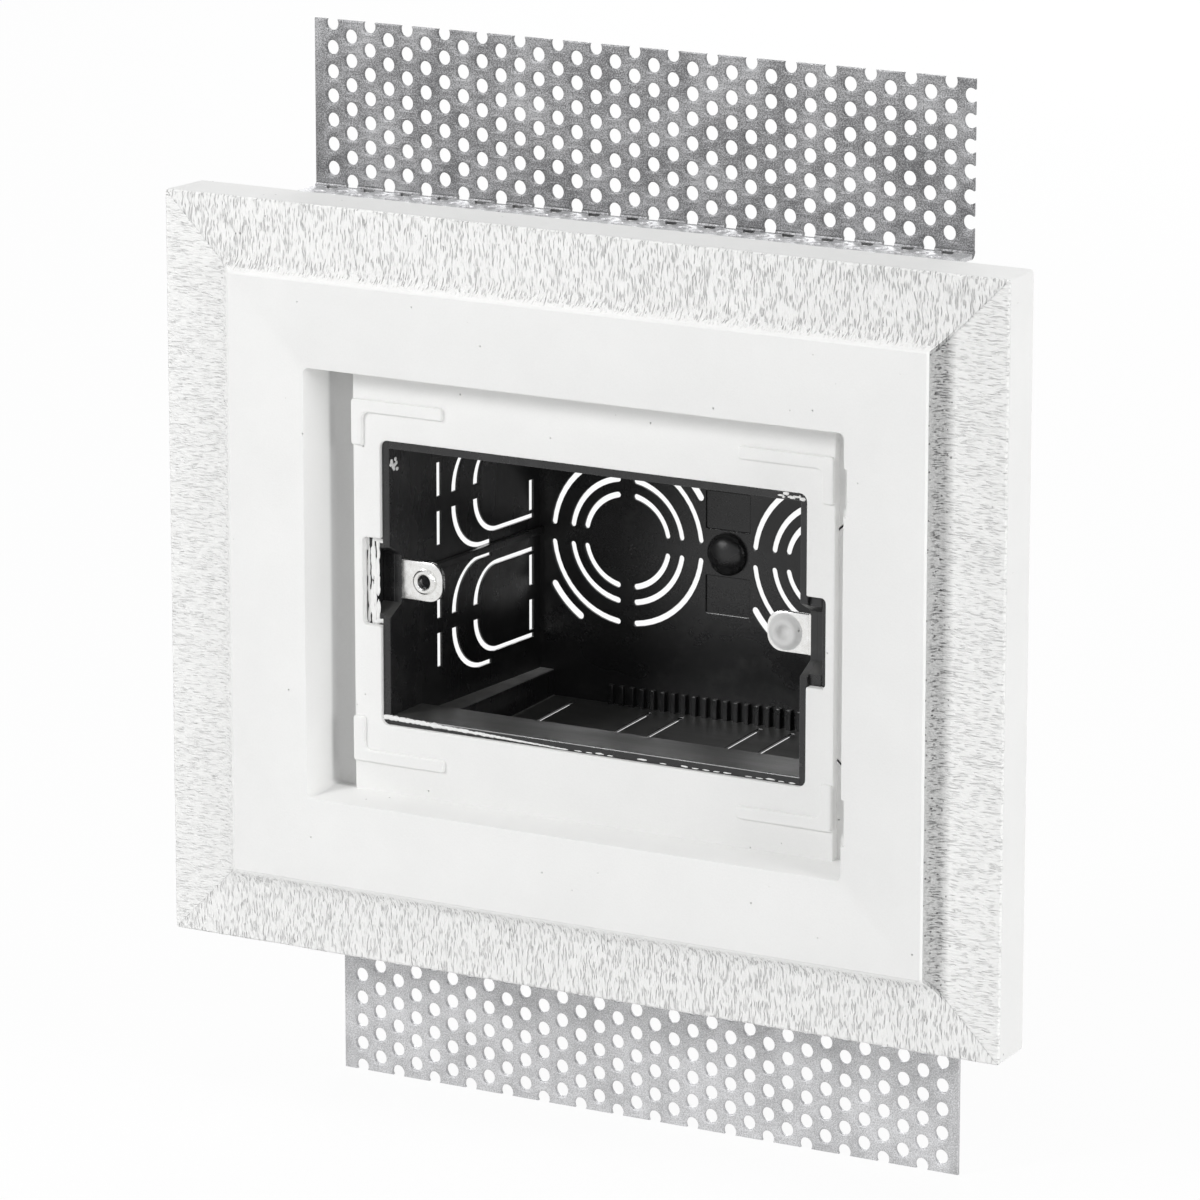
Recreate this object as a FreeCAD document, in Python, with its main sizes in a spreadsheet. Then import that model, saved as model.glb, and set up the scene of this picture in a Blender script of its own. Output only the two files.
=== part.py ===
"""Flush plaster frame with a moulded wiring box, for a plasterboard wall.

Millimetres. X runs to the right, Y into the wall and Z up. The origin is midway between the
two screw holes, on the front face of the steel tabs that carry the wiring device.
"""
import FreeCAD
import Part
import Sketcher
import math
import os
import re

VECTOR = FreeCAD.Vector

# Driving sizes in millimetres and degrees, each set once and read from the sheet.
SIZES = {
    # Plaster casting
    "tab_set_back": 11.7,
    "frame_width": 192.2,
    "frame_height": 156.6,
    "frame_side_taper": 0.8,
    "slab_depth": 12.0,
    "platform_width": 160.2,
    "platform_height": 126.3,
    "platform_rise": 2.4,
    "cove_radius": 3.9,
    "recess_width": 123.7,
    "recess_height": 90.1,
    "recess_depth": 8.8,
    "recess_side_draft": 3.0,
    "recess_end_draft": 6.0,
    "groove_depth": 1.7,
    "opening_width": 98.3,
    "opening_height": 59.6,
    "opening_corner": 1.6,
    "notch_height": 18.4,
    "notch_reach": 4.3,
    "notch_corner": 1.0,
    "seat_span_width": 111.0,
    "seat_span_height": 76.0,
    "seat_arm_along": 21.5,
    "seat_arm_up": 9.6,
    "seat_arm_width": 2.6,
    "seat_rise": 0.9,
    "seat_relief": 0.7,
    "seat_inner_corner": 1.5,
    # Moulded box
    "rim_set_back": 0.8,
    "box_wall": 1.8,
    "collar_length": 10.5,
    "chamber_back": 52.0,
    "chamber_height": 71.0,
    "chamber_draft": 3.0,
    "chamber_corner": 4.0,
    "rail_width": 3.4,
    "rail_height": 5.6,
    "rib_height": 1.6,
    "rib_stand": 0.9,
    "lug_set_back": 0.9,
    "lug_wall": 1.6,
    "lug_mouth": 14.8,
    "lug_slope": 2.4,
    "boss_diameter": 9.0,
    "boss_height": 2.2,
    "boss_edge": 1.2,
    "panel_width": 12.2,
    "panel_height": 8.0,
    "panel_spacing": 18.0,
    "panel_sink": 0.4,
    "comb_pitch": 2.5,
    "comb_span": 55.0,
    "comb_tooth_width": 1.2,
    "comb_tooth_height": 4.2,
    "comb_tooth_depth": 1.0,
    # Knock-outs
    "slit_width": 1.4,
    "bridge_width": 3.2,
    "ring_spacing": 48.0,
    "ring_small": 9.9,
    "ring_middle": 13.2,
    "ring_large": 17.7,
    "corner_slit_radius": 20.8,
    "corner_slit_spread": 14.0,
    "arch_radius": 9.3,
    "arch_front": 28.0,
    "arch_back": 50.0,
    "outer_arch_radius": 11.3,
    "outer_arch_front": 20.0,
    "outer_arch_back": 33.5,
    "front_bar_depth": 14.4,
    "front_bar_half": 8.7,
    "arch_rise": 25.8,
    "arch_step": 26.3,
    # Screw tabs
    "screw_spacing": 83.5,
    "screw_hole": 3.0,
    "screw_collar": 5.4,
    "screw_collar_height": 0.8,
    "tab_width": 8.2,
    "tab_thickness": 1.2,
    "tab_overhang": 4.1,
    "tab_end_round": 3.2,
    "tab_bend_reach": 48.6,
    "tab_bend_round": 1.6,
    "tab_leg": 5.6,
    # Perforated wings
    "sheet_thickness": 1.0,
    "sheet_bend": 1.6,
    "wing_set_back": 25.0,
    "wing_offset": 77.0,
    "wing_height": 34.6,
    "wing_embed": 8.0,
    "upper_wing_length": 151.0,
    "lower_wing_length": 145.0,
    "lower_wing_shift": 2.2,
    "hole_diameter": 3.0,
    "hole_pitch": 5.0,
    "hole_column_step": 4.42,
    "hole_side_margin": 4.2,
    "hole_edge_margin": 0.8,
    "hole_bend_margin": 4.6,
}

# Places along Y, as formulas over the sizes.
BAND = "(0 - tab_set_back)"
FRONT = "(0 - tab_set_back - platform_rise)"
FLOOR = "(recess_depth - platform_rise - tab_set_back)"
GROOVE = "(recess_depth + groove_depth - platform_rise - tab_set_back)"
SLAB_BACK = "(slab_depth - tab_set_back)"
RIM = "(recess_depth - platform_rise - tab_set_back + rim_set_back)"
SHOULDER = "(recess_depth - platform_rise - tab_set_back + rim_set_back + collar_length)"
CHAMBER_FRONT = "(recess_depth - platform_rise - tab_set_back + rim_set_back + collar_length + box_wall)"
WING_FACE = "(wing_set_back - tab_set_back)"
OPEN_AIR = "(0 - tab_set_back - 2 * platform_rise)"

# Sizes that follow from the driving ones.
COVE_RUN = "sqrt(2 * cove_radius * platform_rise - platform_rise ^ 2)"
INNER_HALF = "(opening_width / 2 - box_wall)"
LUG_HALF = "(opening_width / 2 + notch_reach)"
DRAFT_SHIFT = "((chamber_back - %s) * tan(chamber_draft))" % CHAMBER_FRONT
BACK_HALF = "(opening_width / 2 - box_wall - %s)" % DRAFT_SHIFT
CHAMBER_HALF_HEIGHT = "(chamber_height / 2 + %s)" % DRAFT_SHIFT
HOLE_HALF_DIAGONAL = "(hole_diameter * sqrt(pi / 8))"

doc = FreeCAD.newDocument("drywall_box")
sheet = doc.addObject("Spreadsheet::Sheet", "sizes")
for row, (alias, number) in enumerate(SIZES.items(), start=1):
    sheet.set("A%d" % row, alias)
    sheet.set("B%d" % row, str(number))
    sheet.setAlias("B%d" % row, alias)
doc.recompute()


def linked(formula):
    """The formula with each size name written as a reference to the sheet."""
    return re.sub(r"\b([a-z]+(?:_[a-z]+)+)\b", r"sizes.\1", formula)


def value(formula):
    """The formula's present number."""
    return float(sheet.evalExpression(linked(formula)))


def bind(item, field, formula):
    """Tie one property to a formula over the sizes."""
    item.setExpression(field, linked(formula))


def new_body(name):
    """An empty body, labelled with the sub-part's name."""
    body = doc.addObject("PartDesign::Body", name)
    body.Label = name
    return body


def new_sketch(body, name, role, distance="0", across="0"):
    """A sketch on one of the body's origin planes, moved along its normal and its own X."""
    sketch = body.newObject("Sketcher::SketchObject", name)
    plane = [item for item in body.Origin.OriginFeatures if item.Role == role][0]
    sketch.AttachmentSupport = [(plane, "")]
    sketch.MapMode = "FlatFace"
    bind(sketch, "AttachmentOffset.Base.z", distance)
    bind(sketch, "AttachmentOffset.Base.x", across)
    return sketch


def face_sketch(body, name, depth, across="0"):
    """A sketch seen from the front at a depth along Y: its X is X and its Y is Z."""
    return new_sketch(body, name, "XZ_Plane", "0 - " + depth, across)


def plan_sketch(body, name):
    """A sketch seen from above: its X is X and its Y is Y."""
    return new_sketch(body, name, "XY_Plane")


def side_sketch(body, name, across="0"):
    """A sketch seen from the side: its X is Y and its Y is Z."""
    return new_sketch(body, name, "YZ_Plane", across)


def dimension(sketch, kind, formula, *refs):
    """A dimension bound to a formula, measured the other way where it is negative."""
    number = value(formula)
    if number < 0:
        refs = refs[2:] + refs[:2]
        formula = "0 - (%s)" % formula
    index = sketch.addConstraint(Sketcher.Constraint(kind, *refs, abs(number)))
    bind(sketch, "Constraints[%d]" % index, formula)


def pin(sketch, shape, end, place):
    """Fix one point of a sketch at a place given as two formulas."""
    for kind, axis, formula in (("DistanceX", -2, place[0]), ("DistanceY", -1, place[1])):
        if formula == "0":
            sketch.addConstraint(Sketcher.Constraint("PointOnObject", shape, end, axis))
        else:
            dimension(sketch, kind, formula, -1, 1, shape, end)


def add_arc(sketch, centre, start, stop):
    """An arc the short way between two points, and the numbers of those two ends."""
    first = math.atan2(start.y - centre.y, start.x - centre.x)
    last = math.atan2(stop.y - centre.y, stop.x - centre.x)
    forward = (last - first) % (2 * math.pi) < math.pi
    ring = Part.Circle(centre, VECTOR(0, 0, 1), (start - centre).Length)
    if forward:
        return sketch.addGeometry(Part.ArcOfCircle(ring, first, last), False), 1, 2
    return sketch.addGeometry(Part.ArcOfCircle(ring, last, first), False), 2, 1


def outline(sketch, corners):
    """A closed loop through corners (x, y) or (x, y, radius), all given as formulas."""
    points = [VECTOR(value(corner[0]), value(corner[1]), 0) for corner in corners]
    count = len(corners)
    enter = []
    leave = []
    centres = []
    for i in range(count):
        radius = value(corners[i][2]) if len(corners[i]) > 2 else 0.0
        back = (points[i - 1] - points[i]).normalize()
        ahead = (points[(i + 1) % count] - points[i]).normalize()
        half = back.getAngle(ahead) / 2
        enter.append(points[i] + back * (radius / math.tan(half)))
        leave.append(points[i] + ahead * (radius / math.tan(half)))
        centres.append(points[i] + (back + ahead).normalize() * (radius / math.sin(half)))
    lines = []
    for i in range(count):
        edge = Part.LineSegment(leave[i], enter[(i + 1) % count])
        lines.append(sketch.addGeometry(edge, False))
    for i in range(count):
        if len(corners[i]) == 2:
            sketch.addConstraint(Sketcher.Constraint("Coincident", lines[i - 1], 2, lines[i], 1))
            pin(sketch, lines[i], 1, corners[i])
            continue
        arc, start, stop = add_arc(sketch, centres[i], enter[i], leave[i])
        sketch.addConstraint(Sketcher.Constraint("Tangent", lines[i - 1], 2, arc, start))
        sketch.addConstraint(Sketcher.Constraint("Tangent", arc, stop, lines[i], 1))
        dimension(sketch, "Radius", corners[i][2], arc)
        point = sketch.addGeometry(Part.Point(points[i]), True)
        sketch.addConstraint(Sketcher.Constraint("PointOnObject", point, 1, lines[i - 1]))
        sketch.addConstraint(Sketcher.Constraint("PointOnObject", point, 1, lines[i]))
        pin(sketch, point, 1, corners[i])


def rectangle(sketch, left, right, low, high, radius=None):
    """A rectangle between four formulas, with rounded corners where a radius is given."""
    places = [(left, low), (right, low), (right, high), (left, high)]
    if radius:
        places = [place + (radius,) for place in places]
    outline(sketch, places)


def circle(sketch, across, up, diameter):
    """A full circle at a place given as two formulas."""
    centre = VECTOR(value(across), value(up), 0)
    ring = Part.Circle(centre, VECTOR(0, 0, 1), value(diameter) / 2)
    shape = sketch.addGeometry(ring, False)
    dimension(sketch, "Diameter", diameter, shape)
    pin(sketch, shape, 3, (across, up))


def spread_slit(sketch, radius, angles):
    """A short slit about the sketch's origin, in chords through the angles given."""
    outer = "(%s + slit_width / 2)" % radius
    inner = "(%s - slit_width / 2)" % radius
    far = [("%s * cos(%s)" % (outer, angle), "%s * sin(%s)" % (outer, angle)) for angle in angles]
    near = [("%s * cos(%s)" % (inner, angle), "%s * sin(%s)" % (inner, angle)) for angle in angles]
    outline(sketch, far + near[::-1])


def quarter_slit(sketch, radius):
    """A quarter of a slit ring about the sketch's origin, in chords, cut short at both bridges."""
    sides = []
    for side in ("+", "-"):
        bend = "(%s %s slit_width / 2)" % (radius, side)
        long = "sqrt(%s ^ 2 - (bridge_width / 2) ^ 2)" % bend
        turns = [("%s * cos(%s)" % (bend, turn), "%s * sin(%s)" % (bend, turn)) for turn in ("30", "60")]
        sides.append([(long, "bridge_width / 2")] + turns + [("bridge_width / 2", long)])
    outline(sketch, sides[0] + sides[1][::-1])


def corner_chords(depth, across, sign, bend):
    """A rounded corner in two chords, from the front edge to the side edge, as (depth, across)."""
    short = "%s * (1 - sqrt(0.5))" % bend
    return [(depth, "(%s %s (0 - %s))" % (across, sign, bend)),
            ("(%s + %s)" % (depth, short), "(%s %s (0 - %s))" % (across, sign, short)),
            ("(%s + %s)" % (depth, bend), across)]


def arch_slits(sketch, centre, place, with_bars):
    """One arched knock-out: two nested hooks a side, and straight bars where asked for.

    place turns (depth, across) into the sketch's own two directions.
    """
    hooks = [("arch_radius", "arch_front", "arch_back"),
             ("outer_arch_radius", "outer_arch_front", "outer_arch_back")]
    for sign in ("+", "-"):
        near = "(%s %s bridge_width / 2)" % (centre, sign)
        for radius, front, back in hooks:
            far_out = "(%s %s (%s + slit_width / 2))" % (centre, sign, radius)
            far_in = "(%s %s (%s - slit_width / 2))" % (centre, sign, radius)
            ahead = "(%s - slit_width / 2)" % front
            behind = "(%s + slit_width / 2)" % front
            bend_out = "(%s - bridge_width / 2)" % radius
            bend_in = "(%s - bridge_width / 2 - slit_width)" % radius
            hook = [(ahead, near)] + corner_chords(ahead, far_out, sign, bend_out)
            hook += [(back, far_out), (back, far_in)]
            hook += corner_chords(behind, far_in, sign, bend_in)[::-1] + [(behind, near)]
            outline(sketch, [place(depth, across) for depth, across in hook])
        if with_bars:
            tip = "(%s %s front_bar_half)" % (centre, sign)
            first = "(front_bar_depth - slit_width / 2)"
            last = "(front_bar_depth + slit_width / 2)"
            outline(sketch, [place(first, near), place(first, tip), place(last, tip), place(last, near)])
            tip = "(%s %s (arch_radius - 2 * slit_width))" % (centre, sign)
            first = "(arch_back - slit_width)"
            outline(sketch, [place(first, near), place(first, tip),
                             place("arch_back", tip), place("arch_back", near)])


def named_edges(feature):
    """Each edge of a feature's shape with the name that a fillet takes."""
    return [("Edge%d" % number, line) for number, line in enumerate(feature.Shape.Edges, start=1)]


def round_edges(body, name, feature, edges, radius):
    """A fillet on the named edges of a feature."""
    fillet = body.newObject("PartDesign::Fillet", name)
    fillet.Base = (feature, edges)
    bind(fillet, "Radius", radius)
    doc.recompute()


def extrude(body, kind, name, sketch, length=None, backwards=False, symmetric=False):
    """A pad or a pocket; without a length a pocket goes right through."""
    before = body.Shape.Volume if body.Tip else 0.0
    feature = body.newObject("PartDesign::" + kind, name)
    feature.Profile = sketch
    feature.Reversed = backwards
    if symmetric:
        feature.SideType = "Symmetric"
    if length:
        bind(feature, "Length", length)
    else:
        feature.Type = "ThroughAll"
    doc.recompute()
    grown = body.Shape.Volume - before
    if (grown <= 0) == (kind == "Pad"):
        raise RuntimeError("%s changes nothing" % name)
    return feature


def repeat(body, name, feature, sketch, axis, spacing, count):
    """A row of copies of a feature along one of its sketch's axes."""
    row = body.newObject("PartDesign::LinearPattern", name)
    row.Originals = [feature]
    row.Direction = (sketch, [axis])
    row.Mode = "Spacing"
    bind(row, "Offset", spacing)
    bind(row, "Occurrences", count)
    body.Tip = row
    doc.recompute()
    return row


def turn_and_repeat(body, name, feature, sketch, turns, spacing):
    """Copies of a feature turned about its sketch's origin, and the set made twice along X."""
    group = body.newObject("PartDesign::MultiTransform", name)
    group.Originals = [feature]
    polar = body.newObject("PartDesign::PolarPattern", name + "_turn")
    polar.Axis = (sketch, ["N_Axis"])
    polar.Angle = 360.0
    polar.Occurrences = turns
    row = body.newObject("PartDesign::LinearPattern", name + "_row")
    row.Direction = (sketch, ["H_Axis"])
    row.Mode = "Spacing"
    bind(row, "Offset", spacing)
    row.Occurrences = 2
    group.Transformations = [polar, row]
    body.Tip = group
    doc.recompute()
    return group


def cove_loop(sketch, sign, span, reach, place):
    """The open space beside the platform: straight above, hollowed to the band below."""
    edge = "(%s %s / 2)" % (sign, span)
    foot = "(%s (%s / 2 + %s))" % (sign, span, COVE_RUN)
    outside = "(%s (%s / 2 + platform_rise))" % (sign, reach)
    corners = [place(edge, OPEN_AIR), place(edge, FRONT), place(foot, BAND),
               place(outside, BAND), place(outside, OPEN_AIR)]
    spots = [VECTOR(value(corner[0]), value(corner[1]), 0) for corner in corners]
    lift = place("0", "0 - cove_radius")
    centre = spots[2] + VECTOR(value(lift[0]), value(lift[1]), 0)
    arc, start, stop = add_arc(sketch, centre, spots[1], spots[2])
    ends = {1: (arc, start), 2: (arc, stop)}
    order = [(2, 3), (3, 4), (4, 0), (0, 1)]
    lines = [sketch.addGeometry(Part.LineSegment(spots[a], spots[b]), False) for a, b in order]
    sketch.addConstraint(Sketcher.Constraint("Tangent", arc, ends[2][1], lines[0], 1))
    for first, second in ((0, 1), (1, 2), (2, 3)):
        sketch.addConstraint(Sketcher.Constraint("Coincident", lines[first], 2, lines[second], 1))
    sketch.addConstraint(Sketcher.Constraint("Coincident", lines[3], 2, arc, ends[1][1]))
    for line, corner in zip(lines, (2, 3, 4, 0)):
        pin(sketch, line, 1, corners[corner])
    pin(sketch, lines[3], 2, corners[1])


def slab_body():
    """The casting before its recess: platform, band, opening, notches and wing slots."""
    body = new_body("slab")
    sketch = face_sketch(body, "slab_outline", FRONT)
    rectangle(sketch, "0 - frame_width / 2", "frame_width / 2", "0 - frame_height / 2", "frame_height / 2")
    extrude(body, "Pad", "slab_block", sketch, "slab_depth + platform_rise", backwards=True)
    sketch = plan_sketch(body, "side_taper_outline")
    for sign in ("0 +", "0 -"):
        edge = "(%s frame_width / 2)" % sign
        tapered = "(%s (frame_width / 2 - frame_side_taper))" % sign
        outline(sketch, [(edge, BAND), (edge, SLAB_BACK), (tapered, SLAB_BACK)])
    extrude(body, "Pocket", "side_tapers", sketch, symmetric=True)
    sketch = plan_sketch(body, "side_coves")
    for sign in ("0 +", "0 -"):
        cove_loop(sketch, sign, "platform_width", "frame_width", lambda a, d: (a, d))
    extrude(body, "Pocket", "side_bands", sketch, symmetric=True)
    sketch = side_sketch(body, "end_coves")
    for sign in ("0 +", "0 -"):
        cove_loop(sketch, sign, "platform_height", "frame_height", lambda a, d: (d, a))
    extrude(body, "Pocket", "end_bands", sketch, symmetric=True)
    sketch = face_sketch(body, "opening_outline", FRONT)
    rectangle(sketch, "0 - opening_width / 2", "opening_width / 2",
              "0 - opening_height / 2", "opening_height / 2", "opening_corner")
    extrude(body, "Pocket", "opening", sketch)
    sketch = face_sketch(body, "notch_outline", FRONT)
    rectangle(sketch, "0 - " + LUG_HALF, LUG_HALF, "0 - notch_height / 2", "notch_height / 2", "notch_corner")
    extrude(body, "Pocket", "notches", sketch)
    sketch = face_sketch(body, "wing_slots_outline", SLAB_BACK)
    rectangle(sketch, "0 - upper_wing_length / 2", "upper_wing_length / 2",
              "wing_offset - sheet_thickness", "wing_offset")
    rectangle(sketch, "lower_wing_shift - lower_wing_length / 2", "lower_wing_shift + lower_wing_length / 2",
              "0 - wing_offset", "sheet_thickness - wing_offset")
    extrude(body, "Pocket", "wing_slots", sketch, "wing_embed", backwards=True)
    return body


def recess_hollow():
    """The recess as a solid: drafted walls, a groove down each side and reliefs beside the seats."""
    deep = "(recess_depth + groove_depth)"
    shelf = "seat_span_width / 2"
    plan = new_body("recess_plan")
    sketch = plan_sketch(plan, "recess_plan_outline")
    wide = "(recess_width / 2 + platform_rise * tan(recess_side_draft))"
    foot = "(recess_width / 2 - %s * tan(recess_side_draft))" % deep
    outline(sketch, [("0 - " + wide, OPEN_AIR), (wide, OPEN_AIR), (foot, GROOVE), (shelf, GROOVE), (shelf, FLOOR),
                     ("0 - " + shelf, FLOOR), ("0 - " + shelf, GROOVE), ("0 - " + foot, GROOVE)])
    extrude(plan, "Pad", "recess_plan_block", sketch, "frame_height", symmetric=True)
    section = new_body("recess_section")
    sketch = side_sketch(section, "recess_section_outline")
    tall = "(recess_height / 2 + platform_rise * tan(recess_end_draft))"
    low = "(recess_height / 2 - %s * tan(recess_end_draft))" % deep
    outline(sketch, [(OPEN_AIR, "0 - " + tall), (GROOVE, "0 - " + low), (GROOVE, low), (OPEN_AIR, tall)])
    extrude(section, "Pad", "recess_section_block", sketch, "frame_width", symmetric=True)
    trough = doc.addObject("Part::Common", "recess_trough")
    trough.Base = plan
    trough.Tool = section
    relief = new_body("seat_reliefs")
    sketch = face_sketch(relief, "seat_relief_outline", GROOVE)
    for side in ("0 +", "0 -"):
        for end in ("0 +", "0 -"):
            rectangle(sketch, "(%s %s)" % (side, shelf), "(%s (recess_width / 2 + seat_relief))" % side,
                      "(%s (seat_span_height / 2 - seat_arm_up))" % end, "(%s seat_span_height / 2)" % end)
    extrude(relief, "Pad", "seat_relief_blocks", sketch, deep + " + platform_rise")
    hollow = doc.addObject("Part::Fuse", "recess_hollow")
    hollow.Base = trough
    hollow.Tool = relief
    return hollow


def seat_pads():
    """Four L-shaped pads on the recess floor, where the cover's frame seats."""
    body = new_body("seat_pads")
    sketch = face_sketch(body, "seat_pads_outline", FLOOR)
    for side in ("0 +", "0 -"):
        for end in ("0 +", "0 -"):
            outer = "(%s seat_span_width / 2)" % side
            inner = "(%s (seat_span_width / 2 - seat_arm_width))" % side
            tip = "(%s (seat_span_width / 2 - seat_arm_along))" % side
            top = "(%s seat_span_height / 2)" % end
            under = "(%s (seat_span_height / 2 - seat_arm_width))" % end
            foot = "(%s (seat_span_height / 2 - seat_arm_up))" % end
            outline(sketch, [(outer, top), (tip, top), (tip, under),
                             (inner, under, "seat_inner_corner"), (inner, foot), (outer, foot)])
    extrude(body, "Pad", "seat_pad_blocks", sketch, "seat_rise")
    return body


def plaster_frame():
    """The casting: the slab with the recess cut out around its four seat pads."""
    hollow = doc.addObject("Part::Cut", "recess_around_pads")
    hollow.Base = recess_hollow()
    hollow.Tool = seat_pads()
    frame = doc.addObject("Part::Cut", "plaster_frame")
    frame.Base = slab_body()
    frame.Tool = hollow
    frame.Label = "plaster_frame"
    doc.recompute()
    return frame


def box_shell(body):
    """Collar, tapered chamber and side lugs, hollowed out with rails left in the corners."""
    rear = "(chamber_back + box_wall)"
    shift = "((%s - %s) * tan(chamber_draft))" % (rear, SHOULDER)
    tall = "(%s + box_wall)" % CHAMBER_HALF_HEIGHT
    sketch = plan_sketch(body, "chamber_outline")
    narrow = "(opening_width / 2 - %s)" % shift
    outline(sketch, [("0 - opening_width / 2", SHOULDER), ("opening_width / 2", SHOULDER),
                     (narrow, rear), ("0 - " + narrow, rear)])
    extrude(body, "Pad", "chamber_block", sketch, "2 * " + tall, symmetric=True)
    sketch = side_sketch(body, "chamber_slope_outline")
    for sign in ("0 +", "0 -"):
        edge = "(%s %s)" % (sign, tall)
        outline(sketch, [(SHOULDER, edge), (rear, edge), (rear, "(%s (%s - %s))" % (sign, tall, shift))])
    slopes = extrude(body, "Pocket", "chamber_slopes", sketch, symmetric=True)
    long_edges = [edge for edge, line in named_edges(slopes) if line.BoundBox.YLength > value("box_wall")]
    round_edges(body, "chamber_corners", slopes, long_edges, "chamber_corner")
    sketch = face_sketch(body, "collar_outline", SHOULDER)
    rectangle(sketch, "0 - opening_width / 2", "opening_width / 2",
              "0 - opening_height / 2", "opening_height / 2", "opening_corner")
    extrude(body, "Pad", "collar_block", sketch, "collar_length")
    sketch = face_sketch(body, "lug_outline", SHOULDER)
    rectangle(sketch, "0 - " + LUG_HALF, LUG_HALF, "0 - notch_height / 2", "notch_height / 2", "notch_corner")
    extrude(body, "Pad", "lug_blocks", sketch, "collar_length - lug_set_back")
    sketch = plan_sketch(body, "wide_hollow_outline")
    outline(sketch, [("0 - " + INNER_HALF, CHAMBER_FRONT), (INNER_HALF, CHAMBER_FRONT),
                     (BACK_HALF, "chamber_back"), ("0 - " + BACK_HALF, "chamber_back")])
    extrude(body, "Pocket", "wide_hollow", sketch, "chamber_height - 2 * rail_height", symmetric=True)
    sketch = side_sketch(body, "tall_hollow_outline")
    outline(sketch, [(CHAMBER_FRONT, "0 - " + CHAMBER_HALF_HEIGHT), ("chamber_back", "0 - chamber_height / 2"),
                     ("chamber_back", "chamber_height / 2"), (CHAMBER_FRONT, CHAMBER_HALF_HEIGHT)])
    extrude(body, "Pocket", "tall_hollow", sketch, "2 * (%s - rail_width)" % BACK_HALF, symmetric=True)
    sketch = face_sketch(body, "mouth_outline", RIM)
    high = "(opening_height / 2 - box_wall)"
    rectangle(sketch, "0 - " + INNER_HALF, INNER_HALF, "0 - " + high, high)
    extrude(body, "Pocket", "mouth", sketch, "collar_length + box_wall")


def box_tab_seats(body):
    """Sloped pockets in the lugs and the slots that the steel tabs are pressed into."""
    sketch = side_sketch(body, "lug_pocket_outline")
    floor_half = "(lug_mouth / 2 - lug_slope)"
    outline(sketch, [(RIM, "0 - lug_mouth / 2"), ("0", "0 - " + floor_half),
                     ("0", floor_half), (RIM, "lug_mouth / 2")])
    extrude(body, "Pocket", "lug_pockets", sketch, "2 * (%s - lug_wall)" % LUG_HALF, symmetric=True)
    sketch = face_sketch(body, "tab_slot_outline", "0")
    rectangle(sketch, "0 - tab_bend_reach", "tab_bend_reach", "0 - tab_width / 2", "tab_width / 2")
    extrude(body, "Pocket", "tab_slots", sketch, "tab_leg")


def box_inner_details(body):
    """Ribs along both side walls, the middle boss, two sunk panels and the row of teeth."""
    sketch = plan_sketch(body, "rib_outline")
    for sign in ("0 +", "0 -"):
        front_out = "(%s (%s + box_wall / 2))" % (sign, INNER_HALF)
        front_in = "(%s (%s - rib_stand))" % (sign, INNER_HALF)
        back_out = "(%s (%s + box_wall / 2))" % (sign, BACK_HALF)
        back_in = "(%s (%s - rib_stand))" % (sign, BACK_HALF)
        outline(sketch, [(front_out, CHAMBER_FRONT), (front_in, CHAMBER_FRONT),
                         (back_in, "chamber_back"), (back_out, "chamber_back")])
    extrude(body, "Pad", "side_ribs", sketch, "rib_height", symmetric=True)
    sketch = plan_sketch(body, "boss_outline")
    outline(sketch, [("0", "chamber_back + box_wall / 2"), ("0", "chamber_back - boss_height"),
                     ("boss_diameter / 2 - boss_edge", "chamber_back - boss_height"),
                     ("boss_diameter / 2", "chamber_back - boss_height + boss_edge"),
                     ("boss_diameter / 2", "chamber_back + box_wall / 2")])
    boss = body.newObject("PartDesign::Revolution", "boss")
    boss.Profile = sketch
    boss.ReferenceAxis = (sketch, ["V_Axis"])
    boss.Angle = 360.0
    doc.recompute()
    sketch = face_sketch(body, "panel_outline", "chamber_back")
    for sign in ("0 +", "0 -"):
        near = "%s (panel_spacing - panel_height) / 2" % sign
        far = "%s (panel_spacing + panel_height) / 2" % sign
        rectangle(sketch, "0 - panel_width / 2", "panel_width / 2", near, far)
    extrude(body, "Pocket", "panels", sketch, "panel_sink")
    sketch = face_sketch(body, "tooth_outline", "chamber_back", "0 - comb_span / 2")
    rectangle(sketch, "0 - comb_tooth_width / 2", "comb_tooth_width / 2",
              "0 - chamber_height / 2 - box_wall / 2", "comb_tooth_height - chamber_height / 2")
    tooth = extrude(body, "Pad", "tooth", sketch, "comb_tooth_depth")
    repeat(body, "teeth", tooth, sketch, "H_Axis", "comb_pitch", "floor(comb_span / comb_pitch) + 1")


def box_knockouts(body):
    """Slit outlines of the pieces that break out for conduits, in all five walls.

    Their curves are drawn in chords, to keep dozens of slits light.
    """
    sketch = face_sketch(body, "ring_slit_outline", "chamber_back", "0 - ring_spacing / 2")
    for radius in ("ring_small", "ring_middle", "ring_large"):
        quarter_slit(sketch, radius)
    slits = extrude(body, "Pocket", "ring_slit", sketch)
    turn_and_repeat(body, "ring_slits", slits, sketch, 4, "ring_spacing")
    sketch = face_sketch(body, "corner_slit_outline", "chamber_back", "0 - ring_spacing / 2")
    spread_slit(sketch, "corner_slit_radius",
                ("(225 - corner_slit_spread)", "225", "(225 + corner_slit_spread)"))
    slits = extrude(body, "Pocket", "corner_slit", sketch)
    turn_and_repeat(body, "corner_slits", slits, sketch, 2, "ring_spacing")
    sketch = side_sketch(body, "side_arch_outline")
    arch_slits(sketch, "(0 - arch_rise / 2)", lambda depth, across: (depth, across), True)
    slits = extrude(body, "Pocket", "side_arch", sketch, symmetric=True)
    repeat(body, "side_arches", slits, sketch, "V_Axis", "arch_rise", "2")
    sketch = plan_sketch(body, "floor_arch_outline")
    arch_slits(sketch, "(0 - arch_step)", lambda depth, across: (across, depth), False)
    slits = extrude(body, "Pocket", "floor_arch", sketch, symmetric=True)
    repeat(body, "floor_arches", slits, sketch, "H_Axis", "arch_step", "3")


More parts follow.
